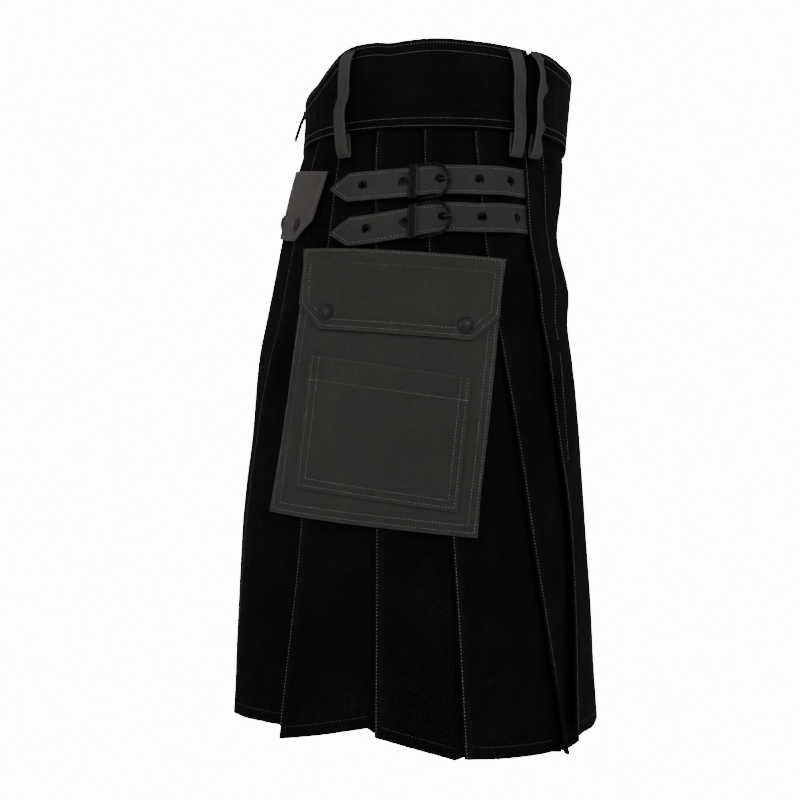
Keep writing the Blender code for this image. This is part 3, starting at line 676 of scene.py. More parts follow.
def stitch_skirt():
    heights = spread(STITCH_TOP - 1.5, HEM + 1.0, 150)
    for hip, side in SIDES:
        bag = []
        for front, fold in zip(FOLDS, FOLDS[1:]):
            spots = []
            for height in heights:
                start, end = fold_turn(fold, height), fold_turn(front, height)
                share = turn_for(1.3, start, height) / (end - start)
                turn = start + share * (end - start)
                spots.append((turn, level_at(fold, share, height),
                              panel_out(fold, share, height, turn, hip)))
            sew(bag, spots, hip, width=0.3)
        thread(f"edge_stitches_{side}", bag, THREAD)
        bag = []
        for front, fold in zip(FOLDS, FOLDS[1:]):
            spots = []
            for share in spread(0.03, 1.0, 40):
                hem = level_at(fold, share, HEM)
                height = (STITCH_TOP + (hem + HEM_ROW - STITCH_TOP) * (HEM - STITCH_TOP)
                          / (hem - STITCH_TOP))
                start, end = fold_turn(fold, height), fold_turn(front, height)
                turn = start + share * (end - start)
                spots.append((turn, hem + HEM_ROW, panel_out(fold, share, height, turn, hip) - 0.28))
            sew(bag, spots, hip, width=0.2)
        thread(f"hem_stitches_{side}", bag, THREAD_DIM)


def apron_out(height, turn, edge_mm, hip):
    near_edge = max(0.0, 1 - edge_mm / 18)
    out = OUT_FOLD - tuck(height) + fold_lift(FOLDS[0], height) * near_edge
    out += 0.35 * (1 - step_up(edge_mm, 7.5, 9.5)) - 0.2 * bell(edge_mm - 2.2, 1.0)
    free = step_up(edge_mm, 8, 30)
    world = turn if hip == RIGHT else turn + 3
    out += free * (1.5 * crease(world, height, hip)
                   + 0.9 * noise.noise(Vector((world / 9, height / 75, hip * 5.0))))
    return out


# Turn of the second row of stitches down the apron's edge
SECOND_ROW = ((-60, 40.6), (-104, 40.3), (-137, 41.6), (-192, 40.6), (-268, 39.2), (-330, 39.2))


APRON_DEGREE = 3.0    # millimetres of apron in a degree of turn, roughly


def make_over_apron():
    edge = FOLDS[0]
    rows = []
    for height in ROWS:
        start = fold_turn(edge, height)
        sides = {}
        for hip in (RIGHT, LEFT):
            row = [(start + turn_for(mm, start, height), mm)
                   for mm in (0, 1.2, 2.4, 3.6, 5, 6.5, 8, 10, 13, 17, 22)]
            first, near = row[-1]
            row += [(t, near + (t - first) * APRON_DEGREE) for t in spread(first, 90, 56)[1:]]
            line = []
            for turn, mm in row:
                share = min(1.0, (turn - start) / 20)
                level = level_at(edge, share, height)
                out = apron_out(height, turn, mm, hip) + hem_groove(level, level_at(edge, share, HEM))
                if turn > 80:
                    blend = (turn - 80) / 10
                    other = apron_out(height, turn, mm, -hip)
                    out += (other - apron_out(height, turn, mm, hip)) * 0.5 * blend
                # Paler line along the apron's edge: partly rubbed dye, partly painted highlight on the
                # raised edge
                line.append((skin(turn, level, out, hip), bell(mm, 1.6) * 0.7))
            sides[hip] = line
        rows.append(sides[RIGHT] + sides[LEFT][-2::-1])
    apron = cloth("over_apron_cloth", rows, APRON)
    finish(apron, APRON_BLACK_PAINTED_SHEEN, ["apron_over"])
    heights = spread(STITCH_TOP - 1.5, HEM + 1.0, 160)
    for hip, side in SIDES:
        bag, dim, spots = [], [], []
        for height in heights:
            start = fold_turn(edge, height)
            turn = start + turn_for(2.2, start, height)
            spots.append((turn, level_at(edge, 0, height), apron_out(height, turn, 2.2, hip)))
        sew(bag, spots, hip, width=0.27)
        spots = []
        for height in spread(STITCH_TOP - 1.5, SECOND_ROW[-1][0], 90):
            turn = smooth(SECOND_ROW, height)
            mm = (turn - fold_turn(edge, height)) * APRON_DEGREE
            spots.append((turn, height, apron_out(height, turn, mm, hip)))
        sew(bag, spots, hip, width=0.27, missing=0.66)
        spots = []
        for turn in spread(fold_turn(edge, HEM) + 0.8, 90, 60):
            share = min(1.0, (turn - fold_turn(edge, HEM)) / 20)
            height = level_at(edge, share, HEM) + HEM_ROW
            mm = (turn - fold_turn(edge, HEM)) * APRON_DEGREE
            spots.append((turn, height, apron_out(height, turn, mm, hip) - 0.2))
        sew(dim, spots, hip, width=0.2)
        thread(f"apron_edge_stitches_{side}", bag, THREAD)
        thread(f"apron_stitches_{side}", dim, THREAD_DIM)


def make_under_apron():
    rows = []
    for height in ROWS[1::2] + [HEM]:
        start = fold_turn(FOLDS[0], height) + 0.45 * LAP
        out = OUT_FOLD - tuck(height) - 2 * pleat_gap(height) - CLOTH - 2.4
        level = STITCH_TOP + (FOLDS[0][2] + 6 - STITCH_TOP) * fall(height)
        rows.append([(skin(turn, level, out), 0.0) for turn in spread(start, 180 - start, 70)])
    finish(cloth("under_apron_cloth", rows, CLOTH), BLACK, ["apron_under"])


# Waistbands
BAND_EDGE = 33.0
BAND_SPLIT = 44.0
BAND_STITCHES = ((1.8, False), (8.3, False), (3.6, True), (10.9, True))   # mm from seam or from top
NOTCH_TURN, NOTCH_DEPTH = 33.9, 5.5


def fold_over(turn):
    return 180 - turn if turn > 90 else -180 - turn if turn < -90 else turn


# The two bands part in a small notch beside the front belt loop
def band_rim(turn):
    turn = fold_over(turn)
    return smooth(BAND_TOP, turn) - NOTCH_DEPTH * bell(turn - NOTCH_TURN, 1.0)


def band_levels(turn):
    top = band_rim(turn)
    low = [SEAM_LINE + v for v in (0, 0.9, 1.8, 2.7, 4.2, 6, 7.4, 8.3, 9.2, 14)]
    high = [top - v for v in (14, 11.8, 10.9, 10, 7, 4.5, 3.6, 2.7, 1.3, 0)]
    middle = [low[-1] + (high[0] - low[-1]) * t for t in (0.2, 0.4, 0.6, 0.8)]
    return low + middle + high


def band_lines(turn):
    return [band_rim(turn) - distance if from_top else SEAM_LINE + distance
            for distance, from_top in BAND_STITCHES]


def band_out(base, turn, height):
    top = band_rim(turn)
    out = base
    for line in band_lines(turn):
        out -= 0.28 * bell(height - line, 1.0)
    middle = math.sin(math.pi * min(max((height - SEAM_LINE) / (top - SEAM_LINE), 0), 1))
    out += middle * (0.9 * noise.noise(Vector((turn / 9, height / 40, base)))
                     + 0.5 * noise.noise(Vector((turn / 3.2, height / 60, base + 3))))
    return out


def make_band(name, start, end, count, base, node_name):
    notch = [n + d for n in (NOTCH_TURN, 180 - NOTCH_TURN, -180 - NOTCH_TURN)
             for d in spread(-1.8, 1.8, 10)]
    low, high = sorted((start, end))
    turns = sorted(spread(start, end, count) + [t for t in notch if low < t < high],
                   reverse=start > end)
    columns = [band_levels(t) for t in turns]
    # Top and bottom rims made paler: partly rubbed dye, partly painted highlight
    rows = [[(skin(t, column[i], band_out(base, t, column[i])), 0.25 * (i in (0, len(column) - 1)))
             for t, column in zip(turns, columns)] for i in range(len(columns[0]) - 1, -1, -1)]
    finish(cloth(name, rows, BAND, rim=0.7), BAND_BLACK, [node_name])


def make_waistbands():
    make_band("waistband_main_cloth", BAND_SPLIT, -180 - BAND_SPLIT, 250, OUT_BAND, "waistband_main")
    make_band("waistband_under_cloth", BAND_SPLIT + 0.3, 179.7 - BAND_SPLIT, 90, OUT_BAND,
              "waistband_under")
    make_band("waistband_apron_cloth", BAND_EDGE, 180 - BAND_EDGE, 110, OUT_BAND_APRON,
              "waistband_apron")
    bag = []
    for start, end, base in ((BAND_EDGE - 2.5, -180 - BAND_EDGE + 2.5, OUT_BAND),
                             (BAND_EDGE + 3.5, 180 - BAND_EDGE - 3.5, OUT_BAND_APRON)):
        for number in range(len(BAND_STITCHES)):
            line = [(turn, band_lines(turn)[number]) for turn in spread(start, end, 320)]
            sew(bag, [(t, h, band_out(base, t, h)) for t, h in line], RIGHT, width=0.27)
    thread("waistband_stitches", bag, THREAD)


# Belt loops
LOOP_RUN = ((30, 0.35), (27, 0.6), (22.5, 4.6), (15, 7.4), (4, 8.6), (-12, 7.4), (-32, 8.4), (-52, 8.8),
            (-62, 7.6), (-66, 4.8), (-60, 2.7), (-44, 2.3))
TAB_RUN = ((2, 0.35), (-2, 0.5), (-10, 3.8), (-26, 8.4))
LOOP_WIDTH = 12.0
# Turn of each loop by height, as it leans and waves
LOOP_TURNS = {
    "hip_back": ((30, -30.7), (-10, -30.9), (-22, -32.4), (-38, -31.7), (-66, -29.3)),
    "hip_front": ((30, 27.0), (-20, 27.4), (-45, 26.9), (-66, 25.4)),
    "apron": ((30, 35.2), (8, 36.6), (-18, 35.8), (-45, 34.6), (-66, 31.9)),
    "back": ((30, -90.0), (-66, -90.0)),
}


# A smooth run through the bends of a table, evenly spaced
def curve_through(bends, count):
    points = [Vector((b[0], b[1], 0)) for b in bends]
    points = [points[0] * 2 - points[1]] + points + [points[-1] * 2 - points[-2]]
    fine = []
    for i in range(1, len(points) - 2):
        for k in range(24):
            t = k / 24
            p0, p1, p2, p3 = points[i - 1:i + 3]
            fine.append(0.5 * ((2 * p1) + (p2 - p0) * t + (2 * p0 - 5 * p1 + 4 * p2 - p3) * t * t
                               + (3 * p1 - p0 - 3 * p2 + p3) * t**3))
    fine.append(points[-2])
    lengths = lengths_along(fine)
    places = [place_at(lengths, lengths[-1] * k / count) for k in range(count + 1)]
    return [fine[i].lerp(fine[i + 1], min(share, 1)) for i, share in places]


# A strip led along its run and folded over itself; roll turns its front edge under
def make_loop(name, turns, base, run, hip, wave, node_name, material, roll=0.0):
    rows = []
    for number, place in enumerate(curve_through(run, 64)):
        height, out = place.x, base + place.y + LOOP / 2
        out += wave * math.sin(number * 0.33 + turns[0][1])
        twist = roll * step_up(place.y, 3.0, 7.0) * step_up(height, -62, -45)
        turn = smooth(turns, height) - 0.5 * twist
        half = turn_for(LOOP_WIDTH / 2, turn, height, out) * (1 - 0.14 * twist)
        row = []
        for part in (-1, -0.93, -0.75, -0.45, 0, 0.45, 0.75, 0.93, 1):
            curl = -0.35 * bell(abs(part) - 0.62, 0.12) - twist * part
            # Edges made paler: partly rubbed dye, partly painted highlight on the rolled edge
            row.append((skin(turn + part * half, height, out + curl, hip),
                        bell(1 - abs(part), 0.12)))
        rows.append(row)
    finish(cloth(name, rows, LOOP, centred=True, rim=0.5), material, [node_name])


# The apron loop's back layer, whose puckered edge shows in front of it
def make_loop_lining(name, turns, base, hip):
    rows = []
    for height in spread(21, -61, 60):
        out = base + smooth(LOOP_RUN[2:8], height) - LOOP * 0.6
        turn = smooth(turns, height) - 0.8
        half = turn_for(LOOP_WIDTH / 2, turn, height, out)
        bulge = sum(bell(height - centre, 6.0) for centre in (-3, -37, -60))
        reach = 0.75 + 1.1 * bulge * step_up(height, 21, 10)
        # Puckered edge made paler: partly rubbed dye, partly painted highlight
        rows.append([(skin(turn + part * half, height, out - 0.8 * part, hip), 0.3 * (part == reach))
                     for part in spread(0.1, reach, 6)])
    finish(cloth(name, rows, LOOP * 0.8, centred=True, rim=0.4), CHARCOAL_LOOP)


def make_loops():
    for hip, side in SIDES:
        for place, roll in (("hip_back", 0.0), ("hip_front", 0.0), ("apron", 1.8)):
            base = OUT_BAND_APRON if place == "apron" else OUT_BAND
            make_loop(f"loop_{place}_{side}_cloth", LOOP_TURNS[place], base, LOOP_RUN, hip, 0.25,
                      f"belt_loop_{place}_{side}", CHARCOAL_LOOP, roll)
        make_loop_lining(f"loop_apron_{side}_lining", LOOP_TURNS["apron"], OUT_BAND_APRON, hip)
    make_loop("back_tab_cloth", LOOP_TURNS["back"], OUT_BAND, TAB_RUN, RIGHT, 0.0, "back_tab",
              BAND_BLACK)


# Straps, buckles and eyelets
STRAPS = {
    "upper": ((35, -88.0), (23.3, -88.0), (12.6, -88.9), (1, -89.1), (-9.5, -91.7),
              (-21.6, -93.3), (-32.9, -94.0)),
    "lower": ((35, -119.8), (25.1, -120.1), (12.8, -122.0), (1.7, -122.1), (-8.8, -127.2),
              (-19.4, -131.9), (-30.7, -133.9)),
}
STRAP_WIDTH, STRAP_TIP = 25.0, 19.0
STRAP_RISE, STRAP_TOP = 28.6, 16.0
EYELETS = (1, 2, 3, 4, 5)
BAR_TURN, TIP_TURN, RING_TURN = -4.7, 3.8, -5.3
BUCKLE_WIDTH, BUCKLE_STRAIGHT, BUCKLE_DROP = 29.6, 0.46, 0.7
OUT_BAR, OUT_FRAME = 6.35, OUT_STRAP + 1.6
KEEPER, KEEPER_WIDTH = 1.3, 7.4


def strap_out(turn):
    return OUT_STRAP_UNDER + (OUT_STRAP - OUT_STRAP_UNDER) * step_up(-turn, -STRAP_RISE, -STRAP_TOP)


def strap_half(turn, last, tip_start):
    narrow = max(0.0, (tip_start - turn) / (tip_start - last))
    return STRAP_WIDTH / 2 * (1 - 0.93 * narrow)


def strap_frame(stations, turn, hip):
    height, out = smooth(stations, turn), strap_out(turn)
    middle = skin(turn, height, out, hip)
    along = (skin(turn - 0.5, smooth(stations, turn - 0.5), out, hip) - middle).normalized()
    outward = (skin(turn, height, out + 4, hip) - middle).normalized()
    side = outward.cross(along).normalized()
    return middle, along, side, along.cross(side) * (1 if along.cross(side).dot(outward) > 0 else -1)


# A ring or cap from a circle, extruded and scaled along a profile of (radius, height)
def lathe(name, profile, sides, closed):
    bpy.ops.object.select_all(action="DESELECT")
    bpy.ops.mesh.primitive_circle_add(vertices=sides, radius=profile[0][0] * MM,
                                      location=(0, 0, profile[0][1] * MM))
    piece = bpy.context.object
    piece.name = piece.data.name = name
    edit_all()
    for (r0, h0), (r1, h1) in zip(profile, profile[1:]):
        bpy.ops.mesh.extrude_edges_move(TRANSFORM_OT_translate={"value": (0, 0, (h1 - h0) * MM)})
        bpy.ops.transform.resize(value=(r1 / r0, r1 / r0, 1))
    if closed:
        bpy.ops.mesh.select_all(action="SELECT")
        bpy.ops.mesh.remove_doubles(threshold=0.00001)
    else:
        bpy.ops.mesh.fill()
    leave_edit_outward()
    bpy.ops.object.transform_apply(location=True, rotation=False, scale=False)
    return piece


def placed_copies(name, pattern, frames):
    points, faces = [], []
    shape = [v.co.copy() for v in pattern.data.vertices]
    for middle, along, side, outward in frames:
        start = len(points)
        flip = along.cross(side).dot(outward) < 0
        points += [middle + along * p.x + side * p.y + outward * p.z for p in shape]
        for polygon in pattern.data.polygons:
            ring = [start + i for i in polygon.vertices]
            faces.append(ring[::-1] if flip else ring)
    piece = piece_from(name, points, faces)
    shade(piece, 40)
    return piece


# A torus or tube led along a path: each ring of its points is set round the path
def tube(name, path, radii, closed):
    count, sides = len(path), 10
    bpy.ops.object.select_all(action="DESELECT")
    if closed:
        bpy.ops.mesh.primitive_torus_add(major_segments=count, minor_segments=sides)
    else:
        bpy.ops.mesh.primitive_grid_add(x_subdivisions=sides, y_subdivisions=count - 1, size=2)
    piece = bpy.context.object
    piece.name = piece.data.name = name
    mesh = piece.data
    rings = []
    for i, spot in enumerate(path):
        before = path[i - 1] if closed or i else path[i]
        after = path[(i + 1) % count] if closed or i < count - 1 else path[i]
        along = (after - before).normalized()
        outward = Vector((spot.x, spot.y, 0)).normalized()
        side = along.cross(outward).normalized()
        outward = side.cross(along)
        wide, high = radii[i]
        rings.append([spot + (side * math.cos(a) * wide + outward * math.sin(a) * high) * MM
                      for a in (2 * math.pi * k / sides for k in range(sides))])
    if closed:
        flat = [p for ring in rings for p in ring]
    else:
        grid = np.array([v.co[:] for v in mesh.vertices]).round(4)
        order = np.lexsort((grid[:, 0], -grid[:, 1]))
        flat = [None] * len(order)
        for k, index in enumerate(order):
            ring, place = divmod(k, sides + 1)
            flat[index] = rings[ring][place % sides]
    for vertex, p in zip(mesh.vertices, flat):
        vertex.co = p
    edit_all()
    bpy.ops.mesh.remove_doubles(threshold=0.00001)
    if not closed:
        bpy.ops.mesh.select_all(action="DESELECT")
        bpy.ops.mesh.select_non_manifold()
        bpy.ops.mesh.edge_face_add()
    leave_edit_outward()
    bpy.ops.object.transform_apply(location=True, rotation=True, scale=True)
    shade(piece, 60)
    return piece


# Rows of the strap, and the turn where its tip starts to narrow
def strap_rows(stations, hip):
    first, last = stations[0][0], stations[-1][0]
    tip_start = last + turn_for(STRAP_TIP, last, stations[-1][1], OUT_STRAP)
    turns = spread(first, tip_start, 110) + spread(tip_start, last, 16)[1:]
    rows = []
    for turn in turns:
        half, height = strap_half(turn, last, tip_start), smooth(stations, turn)
        row = []
        for part in (-1, -0.95, -0.86, -0.79, -0.7, -0.5, -0.3, -0.15, 0, 0.15, 0.3, 0.5, 0.7, 0.79,
                     0.86, 0.95, 1):
            groove = -0.25 * bell(half * (1 - abs(part)) - 2.5, 0.9)
            wave = 0.35 * noise.noise(Vector((turn / 5, height / 30, hip * 2 + part)))
            # Edges made paler: partly rubbed dye, partly painted highlight
            row.append((skin(turn, height + part * half, strap_out(turn) + groove + wave, hip),
                        bell(half * (1 - abs(part)), 1.0)))
        rows.append(row)
    return rows, tip_start


def make_straps():
    ring = lathe("eyelet_pattern", [(4.6, -0.35), (4.5, 0.2), (4.2, 0.5), (3.75, 0.65), (3.2, 0.45),
                                    (2.8, -0.1), (2.7, -1.9), (3.6, -2.1), (4.6, -0.35)], 20, True)
    for hip, side in SIDES:
        bag = []
        for level, stations in STRAPS.items():
            rows, tip_start = strap_rows(stations, hip)
            last = stations[-1][0]
            frames = [strap_frame(stations, stations[k][0], hip) for k in EYELETS]
            strap = cloth(f"strap_{level}_{side}_cloth", rows, STRAP, rim=0.35,
                          holes=[(f[0], 3.0 * MM) for f in frames])
            finish(strap, CHARCOAL_STRAP, [f"strap_{level}_{side}"])
            finish(placed_copies(f"eyelets_{level}_{side}", ring, frames), METAL)
            for sign in (1, -1):
                spots = []
                for turn in spread(stations[0][0], tip_start, 90) + spread(tip_start, last + 1.2, 14)[1:]:
                    half = strap_half(turn, last, tip_start)
                    slant = 2.5 if turn >= tip_start else 3.4
                    across = sign * max(half - slant, 0.0)
                    spots.append((turn, smooth(stations, turn) + across, strap_out(turn) - 0.1))
                sew(bag, spots, hip, width=0.25)
            make_buckle(level, side, stations, hip)
        thread(f"strap_stitches_{side}", bag, THREAD)
    bpy.data.objects.remove(ring, do_unlink=True)


def make_buckle(level, side, stations, hip):
    def spot(turn, across, out):
        return skin(turn, smooth(stations, turn) + across, out, hip)

    half = BUCKLE_WIDTH / 2
    outline = [(0.0, a) for a in spread(-0.93, 0.93, 8)]
    outline += [(0.03, 0.985)] + [(s, 1.0) for s in spread(0.1, BUCKLE_STRAIGHT - 0.06, 4)]
    outline += [(BUCKLE_STRAIGHT + (1 - BUCKLE_STRAIGHT) * math.cos(math.radians(a)),
                 math.sin(math.radians(a))) for a in range(90, -91, -9)]
    outline += [(s, -1.0) for s in spread(BUCKLE_STRAIGHT - 0.06, 0.1, 4)] + [(0.03, -0.985)]
    path, radii = [], []
    for share, across in outline:
        turn = RING_TURN + (TIP_TURN - RING_TURN) * share
        out = OUT_BAR + (OUT_FRAME - OUT_BAR) * min(1.0, share / BUCKLE_STRAIGHT)
        path.append(spot(turn, half * across - BUCKLE_DROP, out))
        radii.append((1.25, 1.0))
    ring = tube(f"buckle_ring_{level}_{side}", path, radii, True)
    finish(ring, METAL, [f"buckle_{level}_{side}"])

    eye = stations[3][0]
    bends = [(BAR_TURN + 1.5, OUT_BAR - 0.1), (eye - 0.5, OUT_BAR + 0.1), (eye - 0.1, OUT_STRAP - 1.0),
             (eye + 0.3, OUT_STRAP + 0.7), (eye + 1.2, OUT_FRAME + 0.9),
             (TIP_TURN - 0.8, OUT_FRAME + 2.3), (TIP_TURN + 0.7, OUT_FRAME + 1.9)]
    path = [spot(p.x, 0.4, p.y) for p in curve_through(bends, 36)]
    radii = [(1.15 * (1 - 0.25 * k / 36), 0.9 * (1 - 0.2 * k / 36)) for k in range(37)]
    radii[0] = radii[-1] = (0.5, 0.4)
    prong = tube(f"prong_pin_{level}_{side}", path, radii, False)
    finish(prong, METAL_WORN, [f"prong_{level}_{side}"])

    keep = BAR_TURN - 1.9
    half_keep = turn_for(KEEPER_WIDTH / 2, keep, stations[4][1], OUT_STRAP)
    over, reach = OUT_STRAP + 1.05 + KEEPER, STRAP_WIDTH / 2 + 1.5 + KEEPER
    foot = OUT_FOLD + 2.1
    arch = ([(reach, foot), (reach, foot + 1.5), (reach, over - 1.2), (reach - 0.35, over - 0.35),
             (reach - 1.2, over)] + [(v, over + 0.25 * (1 - (v / reach) ** 2))
                                     for v in spread(reach - 3, -reach + 3, 8)]
            + [(-reach + 1.2, over), (-reach + 0.35, over - 0.35), (-reach, over - 1.2),
               (-reach, foot + 1.5), (-reach, foot)])
    rows = [[(spot(keep + part * half_keep, across, out - 0.5 * bell(1 - abs(part), 0.2)), 0.0)
             for part in (-1, -0.85, -0.6, 0, 0.6, 0.85, 1)] for across, out in arch]
    keeper = cloth(f"keeper_band_{level}_{side}", rows, KEEPER, rim=0.3, angle=40)
    finish(keeper, METAL, [f"keeper_{level}_{side}"])

    back = keep - turn_for(34, keep, stations[4][1], OUT_FOLD)
    rows = [[(spot(turn, part * (STRAP_WIDTH / 2 - 1), OUT_FOLD + 1.8), 0.0)
             for part in spread(1, -1, 10)] for turn in spread(BAR_TURN - 0.75, back, 24)]
    anchor = cloth(f"anchor_{level}_{side}_cloth", rows, 1.4, rim=0.3)
    finish(anchor, CHARCOAL_STRAP, [f"anchor_{level}_{side}"])


# Pockets
CARGO = {"top_back": (-39.7, -145.2), "top_front": (19.2, -157.7),
         "low_back": (-43.8, -373.5), "low_front": (9.3, -391.8)}
PATCH = {"top_back": (-32.2, -238.6), "top_front": (8.3, -259.1),
         "low_back": (-34.6, -351.3), "low_front": (4.6, -370.6)}
# Cargo pocket and its flap: share down, share across at the back and front edge
BODY_ROWS = ((0.0, 0.004, 1.0), (0.14, 0.008, 0.996), (0.28, 0.01, 0.996), (0.42, 0.013, 0.997),
             (0.57, 0.017, 0.998), (0.7, 0.017, 0.996), (0.85, 0.008, 0.993), (1.0, 0.0, 1.0))
FLAP_ROWS = ((0.0, -0.005, 0.998), (0.07, 0.008, 0.992), (0.14, 0.011, 0.989), (0.215, 0.014, 0.994),
             (0.26, 0.077, 0.936), (0.305, 0.138, 0.878))
CARGO_SNAPS = ((0.241, 0.161), (0.254, 0.832))
BACK_FLAP_ROWS = ((-76, -80.5, -36.4), (-90, -80.3, -37.3), (-105, -80, -38.4),
                  (-120.5, -79.5, -39.6), (-130.5, -75.6, -43.7), (-140.5, -71.5, -47.9))
BACK_FLAP_WIDTH = 130.0
BACK_TILT, BACK_TILT_FROM = 0.4, -36.5    # rise for each degree of turn
BACK_SNAPS = (("outer", -48.6, -124.8), ("inner", -70.5, -124.8))


# Turn of the point that lies a distance ahead of the hip line, in millimetres
def turn_ahead(ahead, height, out):
    side, back, front, power = form_at(height)
    depth = (front if ahead > 0 else back) + out
    aside = (side + out) * (1 - (abs(ahead) / depth) ** power) ** (1 / power)
    return math.degrees(math.atan2(ahead, aside))


def distance_ahead(turn, height, out):
    side, back, front, power = form_at(height)
    c, s = math.cos(math.radians(turn)), math.sin(math.radians(turn))
    depth = (front if s > 0 else back) + out
    return s * ((abs(c) / (side + out)) ** power + (abs(s) / depth) ** power) ** (-1 / power)


# A place between four corners: the edges between them are straight as seen from the side
def pocket_place(corners, down, across):
    spots = {key: (distance_ahead(*corner, OUT_POCKET), corner[1]) for key, corner in corners.items()}
    top = [spots["top_back"][i] * (1 - across) + spots["top_front"][i] * across for i in (0, 1)]
    low = [spots["low_back"][i] * (1 - across) + spots["low_front"][i] * across for i in (0, 1)]
    ahead, height = (top[i] * (1 - down) + low[i] * down for i in (0, 1))
    return turn_ahead(ahead, height, OUT_POCKET), height


def back_tilt(turn):
    return BACK_TILT * (BACK_TILT_FROM - turn)


def pocket_size(corners, out):
    spots = {k: skin(*v, out) for k, v in corners.items()}
    middle = [skin(*pocket_place(corners, 0.5, t), out) for t in spread(0, 1, 20)]
    wide = sum((b - a).length for a, b in zip(middle, middle[1:])) / MM
    tall = ((spots["top_back"] - spots["low_back"]).length
            + (spots["top_front"] - spots["low_front"]).length) / 2 / MM
    return wide, tall


# Moves each side of a polygon inward by its own distance
def inset(corners, distances):
    middle = sum((Vector(c) for c in corners), Vector((0, 0))) / len(corners)
    lines = []
    for i, distance in enumerate(distances):
        a, b = Vector(corners[i]), Vector(corners[(i + 1) % len(corners)])
        along = (b - a).normalized()
        inward = Vector((-along.y, along.x))
        if inward.dot(middle - a) < 0:
            inward = -inward
        lines.append((a + inward * distance, along))
    points = []
    for i in range(len(lines)):
        (p, d), (q, e) = lines[i - 1], lines[i]
        cross = d.x * e.y - d.y * e.x
        t = ((q - p).x * e.y - (q - p).y * e.x) / cross
        points.append(p + d * t)
    return points


# How far a sewn-down panel bulges between its seams
def cloth_puff(x, y, wide, tall, seed):
    inside = math.sin(math.pi * min(max(x / wide, 0), 1)) * math.sin(math.pi * min(max(y / tall, 0), 1))
    rumple = (noise.noise(Vector((x / 55, y / 45, seed)))
              + 0.5 * noise.noise(Vector((x / 22, y / 26, seed + 5))))
    return 0.5 * inside + 0.55 * rumple * inside**0.5


# Shapes on a pocket's own plane: x from its back edge, y down, both in millimetres
class Panel:
    def __init__(self, corners, out, hip, seed, grooves, puff):
        self.corners, self.out, self.hip, self.seed, self.puff = corners, out, hip, seed, puff
        self.wide, self.tall = pocket_size(corners, out)
        self.grooves = grooves    # groups of straight lines from a to b, one for each row of stitches

    def face(self, x, y):
        dip = 0.0
        for polygon in self.grooves:
            for a, b in polygon:
                along = b - a
                t = min(max((Vector((x, y)) - a).dot(along) / along.length_squared, 0), 1)
                dip = max(dip, bell((Vector((x, y)) - (a + along * t)).length, 1.1))
        near = min(x, self.wide - x, y, self.tall - y)
        pucker = 0.5 * bell(near - 6.5, 5) * noise.noise(Vector((x / 8, y / 8, self.seed)))
        return (self.out - 0.3 * dip + pucker
                + self.puff * cloth_puff(x, y, self.wide, self.tall, self.seed))

    def spot(self, x, y):
        turn, height = pocket_place(self.corners, y / self.tall, x / self.wide)
        return turn, height, self.face(x, y)

    # Stitches in all the grooves, none of them higher on the panel than top
    def sew_grooves(self, bag, top=-math.inf):
        for line in self.grooves:
            for ends in line:
                a, b = (Vector((p.x, max(p.y, top))) for p in ends)
                count = max(4, int((b - a).length / 4))
                spots = [self.spot(*(a + (b - a) * k / count)) for k in range(count + 1)]
                sew(bag, spots, self.hip, width=0.25)


def box_of(corners, out):
    wide, tall = pocket_size(corners, out)
    return [(0, 0), (wide, 0), (wide, tall), (0, tall)]


# The chosen sides of a polygon
def lines_of(polygon, picks):
    return [(polygon[i], polygon[(i + 1) % len(polygon)]) for i in picks]


# Shares across a panel, close together at its rim and beside its rows of stitches
def fine_shares(size, edges=(3.5, 9.5), step=4.2):
    near = sorted({0.0, 0.8, 2.0, *(e + d for e in edges for d in (-1.1, 0.0, 1.1))})
    start, end = near[-1], size - near[-1]
    middle = spread(start, end, max(2, int((end - start) / step)))
    return [v / size for v in near[:-1] + middle + [size - v for v in near[-2::-1]]]


# Cloth of a panel within an outline of (share down, share across at the back and front edge)
def pocket_cloth(name, panel, outline):
    downs, backs, fronts = zip(*outline)
    limit = downs[-1]
    shares_down = fine_shares(limit * panel.tall)
    if len(outline) > 2:
        shares_down = sorted({round(v, 5) for v in shares_down} | {round(d / limit, 5) for d in downs})
    rows = []
    for share in shares_down:
        down = share * limit
        back, front = np.interp(down, downs, backs), np.interp(down, downs, fronts)
        row = []
        for across in fine_shares(panel.wide):
            place = back + (front - back) * across
            x, y = place * panel.wide, down * panel.tall
            edge = min(across * panel.wide, (1 - across) * panel.wide, share * limit * panel.tall,
                       (1 - share) * limit * panel.tall)
            turn, height, out = panel.spot(x, y)
            # Rim made paler: partly rubbed dye, partly painted highlight
            row.append((skin(turn, height, out - 0.4 * bell(edge, 0.9), panel.hip),
                        0.8 * bell(edge, 1.1)))
        rows.append(row)
    return cloth(name, rows, TRIM, rim=0.3)


def snap_cap():
    return lathe("snap_pattern", [(6.9, -0.3), (6.9, 0.6), (6.6, 1.15), (6.1, 1.3), (5.7, 1.0),
                                  (5.4, 1.2), (4.6, 1.9), (3.2, 2.4), (1.6, 2.6), (0.5, 2.65)], 28, False)


# A snap's place and its directions: along the cloth, across it and out of it
def snap_frame(turn, height, out, hip):
    middle = skin(turn, height, out, hip)
    along = (skin(turn - 0.5, height, out, hip) - middle).normalized()
    up = (skin(turn, height + 1, out, hip) - skin(turn, height - 1, out, hip)).normalized()
    outward = along.cross(up).normalized()
    if outward.dot(Vector((middle.x, middle.y, 0))) < 0:
        outward.negate()
    return middle, along, outward.cross(along), outward


THREE_SIDES = (1, 2, 3)    # all but the top
SQUARE_ROWS = ((0.0, 0.0, 1.0), (1.0, 0.0, 1.0))


